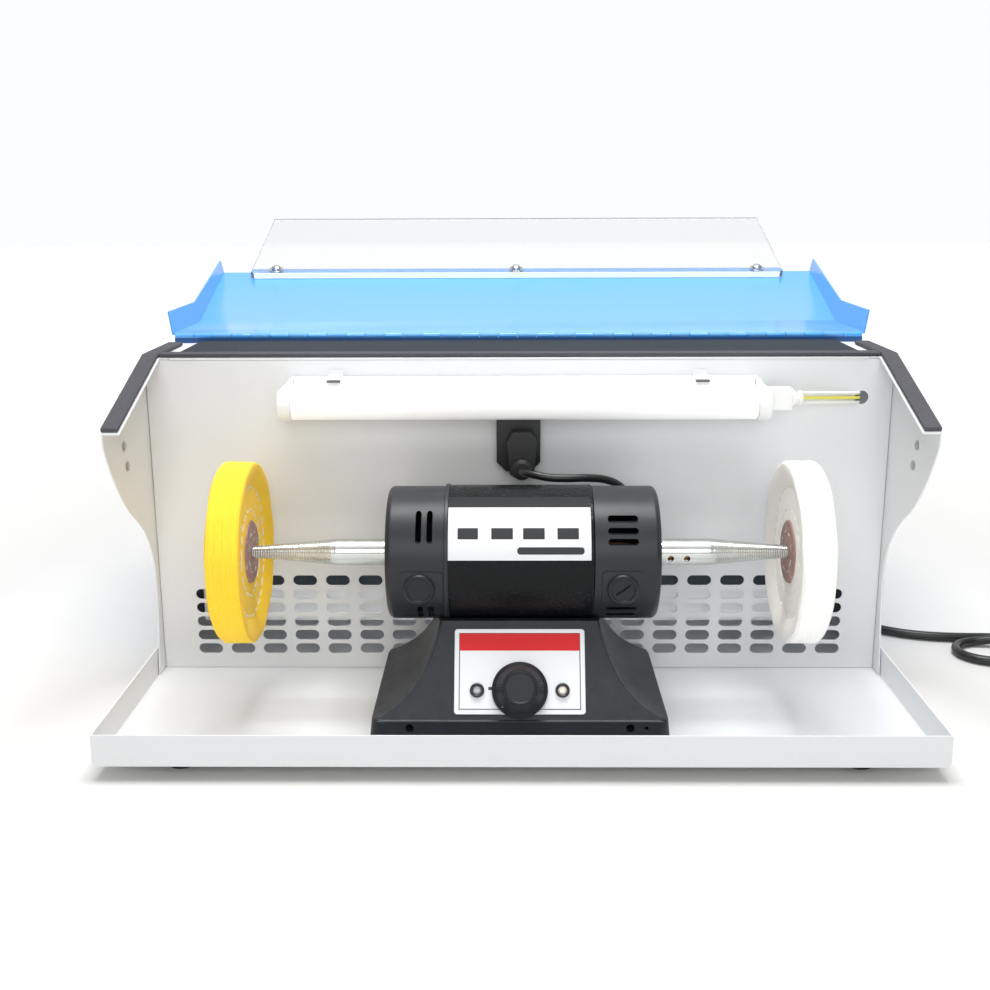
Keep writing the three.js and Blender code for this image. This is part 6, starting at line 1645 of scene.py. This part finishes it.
def make_camera():
    """Sets the camera at the photograph's viewing angle."""
    dip, yaw, roll = CAMERA_DIP, CAMERA_YAW, CAMERA_ROLL
    right = Vector((math.cos(yaw), -math.sin(yaw), 0))
    up = Vector((math.sin(yaw) * math.sin(dip), math.cos(yaw) * math.sin(dip), math.cos(dip)))
    ahead = Vector((math.sin(yaw) * math.cos(dip), math.cos(yaw) * math.cos(dip), -math.sin(dip)))
    side = right * math.cos(roll) + up * math.sin(roll)
    top = up * math.cos(roll) - right * math.sin(roll)
    lens = bpy.data.cameras.new("photograph_camera")
    lens.lens, lens.sensor_width, lens.clip_start = bpy.context.scene.buffer_stage.lens, 36.0, 0.01
    camera = in_scene("photograph_camera", lens)
    camera.matrix_world = Matrix.Translation(CAMERA_PLACE) @ Matrix((side, top, -ahead)).transposed().to_4x4()
    bpy.context.scene.camera = camera


def area_light(name, place, target, size, power):
    """A rectangular soft light at a place, looking at a target."""
    lamp = bpy.data.lights.new(name, "AREA")
    lamp.shape, lamp.size, lamp.size_y, lamp.energy = "RECTANGLE", size[0], size[1], power
    item = in_scene(name, lamp)
    item.location = place
    item.rotation_euler = (Vector(target) - Vector(place)).to_track_quat("-Z", "Y").to_euler()


def make_room(settings):
    """A white room: bright behind the object, dim in front, and plain white where the camera sees it."""
    world = bpy.data.worlds.new("studio")
    bpy.context.scene.world = world
    world.use_nodes = True
    world.node_tree.nodes.clear()
    make = Tree(world.node_tree)
    way = make.add("SeparateXYZ", {0: make.add("TexCoord").outputs["Generated"]}).outputs[1]
    light = make.ramp(way, 0.0, 0.8, settings.front, settings.back)
    room = make.add("Background", {0: (0.97, 0.985, 1.0, 1.0), 1: light}).outputs[0]
    seen = make.add("Background", {0: (0.975, 0.982, 1.0, 1.0), 1: 1.0}).outputs[0]
    mix = make.add("MixShader", {0: make.add("LightPath").outputs["Is Camera Ray"], 1: room, 2: seen})
    make.add("OutputWorld", {"Surface": mix.outputs[0]})


def floor_white():
    """Matt white that glows more and more away from the object, as the floor of an evenly lit room does."""
    material = plain("floor_white", (0.72, 0.712, 0.695), 0.8, Emission_Color=(1.0, 0.99, 0.975, 1.0))
    make = Tree(material.node_tree)
    away = make.add("VectorMath", {0: make.add("TexCoord").outputs["Object"]}, operation="LENGTH").outputs["Value"]
    glow = make.ramp(away, *FLOOR_GLOW_REACH, 0.0, FLOOR_GLOW)
    make.tree.links.new(glow, material.node_tree.nodes["Principled BSDF"].inputs["Emission Strength"])
    return material


def make_stage():
    """Lays the pale floor and sets the soft studio light."""
    settings = bpy.context.scene.buffer_stage
    floor = made("studio_floor", slab(rectangle(FLOOR_REACH, FLOOR_REACH), -20, 0, 0))
    floor.data.materials.append(floor_white())
    make_room(settings)
    for name, place, target, size, power in LIGHTS:
        area_light(name, place, target, size, getattr(settings, power))
    bpy.context.scene.view_settings.view_transform = "Standard"


# Operators, panel and registration

class BUFFER_OT_camera(bpy.types.Operator):
    """Set the camera at the photograph's viewing angle"""

    bl_idname = "buffer.camera"
    bl_label = "Camera"

    def execute(self, context):
        make_camera()
        return {"FINISHED"}


class BUFFER_OT_cords(bpy.types.Operator):
    """Lay the mains lead with its coil and plug, and the machine's cord"""

    bl_idname = "buffer.cords"
    bl_label = "Cords"

    def execute(self, context):
        make_cords()
        return {"FINISHED"}


class BUFFER_OT_tray(bpy.types.Operator):
    """Build the tray, cheeks, foam strips and feet"""

    bl_idname = "buffer.tray"
    bl_label = "Tray and cheeks"

    def execute(self, context):
        make_tray_and_cheeks()
        return {"FINISHED"}


class BUFFER_OT_panel(bpy.types.Operator):
    """Build the slotted back panel"""

    bl_idname = "buffer.panel"
    bl_label = "Back panel"

    def execute(self, context):
        make_back_panel()
        return {"FINISHED"}


class BUFFER_OT_rear(bpy.types.Operator):
    """Build the rear wall, fan, filter, switch and strain relief"""

    bl_idname = "buffer.rear"
    bl_label = "Rear and fan"

    def execute(self, context):
        make_rear()
        return {"FINISHED"}


class BUFFER_OT_lamp(bpy.types.Operator):
    """Build the batten lamp with its clips, plug and wires"""

    bl_idname = "buffer.lamp"
    bl_label = "Lamp"

    def execute(self, context):
        make_lamp()
        return {"FINISHED"}


class BUFFER_OT_outlet(bpy.types.Operator):
    """Build the outlet and the machine's plug"""

    bl_idname = "buffer.outlet"
    bl_label = "Outlet"

    def execute(self, context):
        make_outlet()
        return {"FINISHED"}


class BUFFER_OT_lid(bpy.types.Operator):
    """Build the hinge, lid, visor and visor screws"""

    bl_idname = "buffer.lid"
    bl_label = "Lid"

    def execute(self, context):
        make_lid()
        return {"FINISHED"}


class BUFFER_OT_motor(bpy.types.Operator):
    """Build the drum, label, end caps and brush caps"""

    bl_idname = "buffer.motor"
    bl_label = "Motor"

    def execute(self, context):
        make_motor()
        return {"FINISHED"}


class BUFFER_OT_spindles(bpy.types.Operator):
    """Build the two tapered, threaded spindles"""

    bl_idname = "buffer.spindles"
    bl_label = "Spindles"

    def execute(self, context):
        make_spindles()
        return {"FINISHED"}


class BUFFER_OT_buffs(bpy.types.Operator):
    """Build the two stitched buffs"""

    bl_idname = "buffer.buffs"
    bl_label = "Buffs"

    def execute(self, context):
        make_buffs()
        return {"FINISHED"}


class BUFFER_OT_base(bpy.types.Operator):
    """Build the cast base of the motor"""

    bl_idname = "buffer.base"
    bl_label = "Base"

    def execute(self, context):
        make_base()
        return {"FINISHED"}


class BUFFER_OT_controls(bpy.types.Operator):
    """Build the control plate, indicators and knob"""

    bl_idname = "buffer.controls"
    bl_label = "Controls"

    def execute(self, context):
        make_controls()
        return {"FINISHED"}


class BUFFER_OT_stage(bpy.types.Operator):
    """Lay the floor and set the lights"""

    bl_idname = "buffer.stage"
    bl_label = "Stage"

    def execute(self, context):
        make_stage()
        return {"FINISHED"}


OPERATORS = (
    BUFFER_OT_camera,
    BUFFER_OT_cords,
    BUFFER_OT_tray,
    BUFFER_OT_panel,
    BUFFER_OT_rear,
    BUFFER_OT_lamp,
    BUFFER_OT_outlet,
    BUFFER_OT_lid,
    BUFFER_OT_motor,
    BUFFER_OT_spindles,
    BUFFER_OT_buffs,
    BUFFER_OT_base,
    BUFFER_OT_controls,
    BUFFER_OT_stage,
)


class BUFFER_PT_pieces(bpy.types.Panel):
    """Lists the operators that build the bench buffer."""

    bl_label = "Bench buffer"
    bl_space_type = "VIEW_3D"
    bl_region_type = "UI"
    bl_category = "Bench Buffer"

    def draw(self, context):
        for item in OPERATORS:
            self.layout.operator(item.bl_idname)


SETTINGS = {"buffer_finish": FinishSettings, "buffer_buffs": BuffSettings, "buffer_cords": CordSettings,
            "buffer_stage": StageSettings}


def register():
    """Registers the settings, the operators and the panel."""
    for name, settings in SETTINGS.items():
        bpy.utils.register_class(settings)
        setattr(bpy.types.Scene, name, bpy.props.PointerProperty(type=settings))
    for item in [*OPERATORS, BUFFER_PT_pieces]:
        bpy.utils.register_class(item)


def unregister():
    """Takes them away again."""
    for item in [BUFFER_PT_pieces, *reversed(OPERATORS)]:
        bpy.utils.unregister_class(item)
    for name, settings in SETTINGS.items():
        delattr(bpy.types.Scene, name)
        bpy.utils.unregister_class(settings)


def main():
    """Builds everything in order."""
    register()
    for item in OPERATORS:
        getattr(bpy.ops.buffer, item.bl_idname.split(".")[1])()


if __name__ == "__main__":
    main()
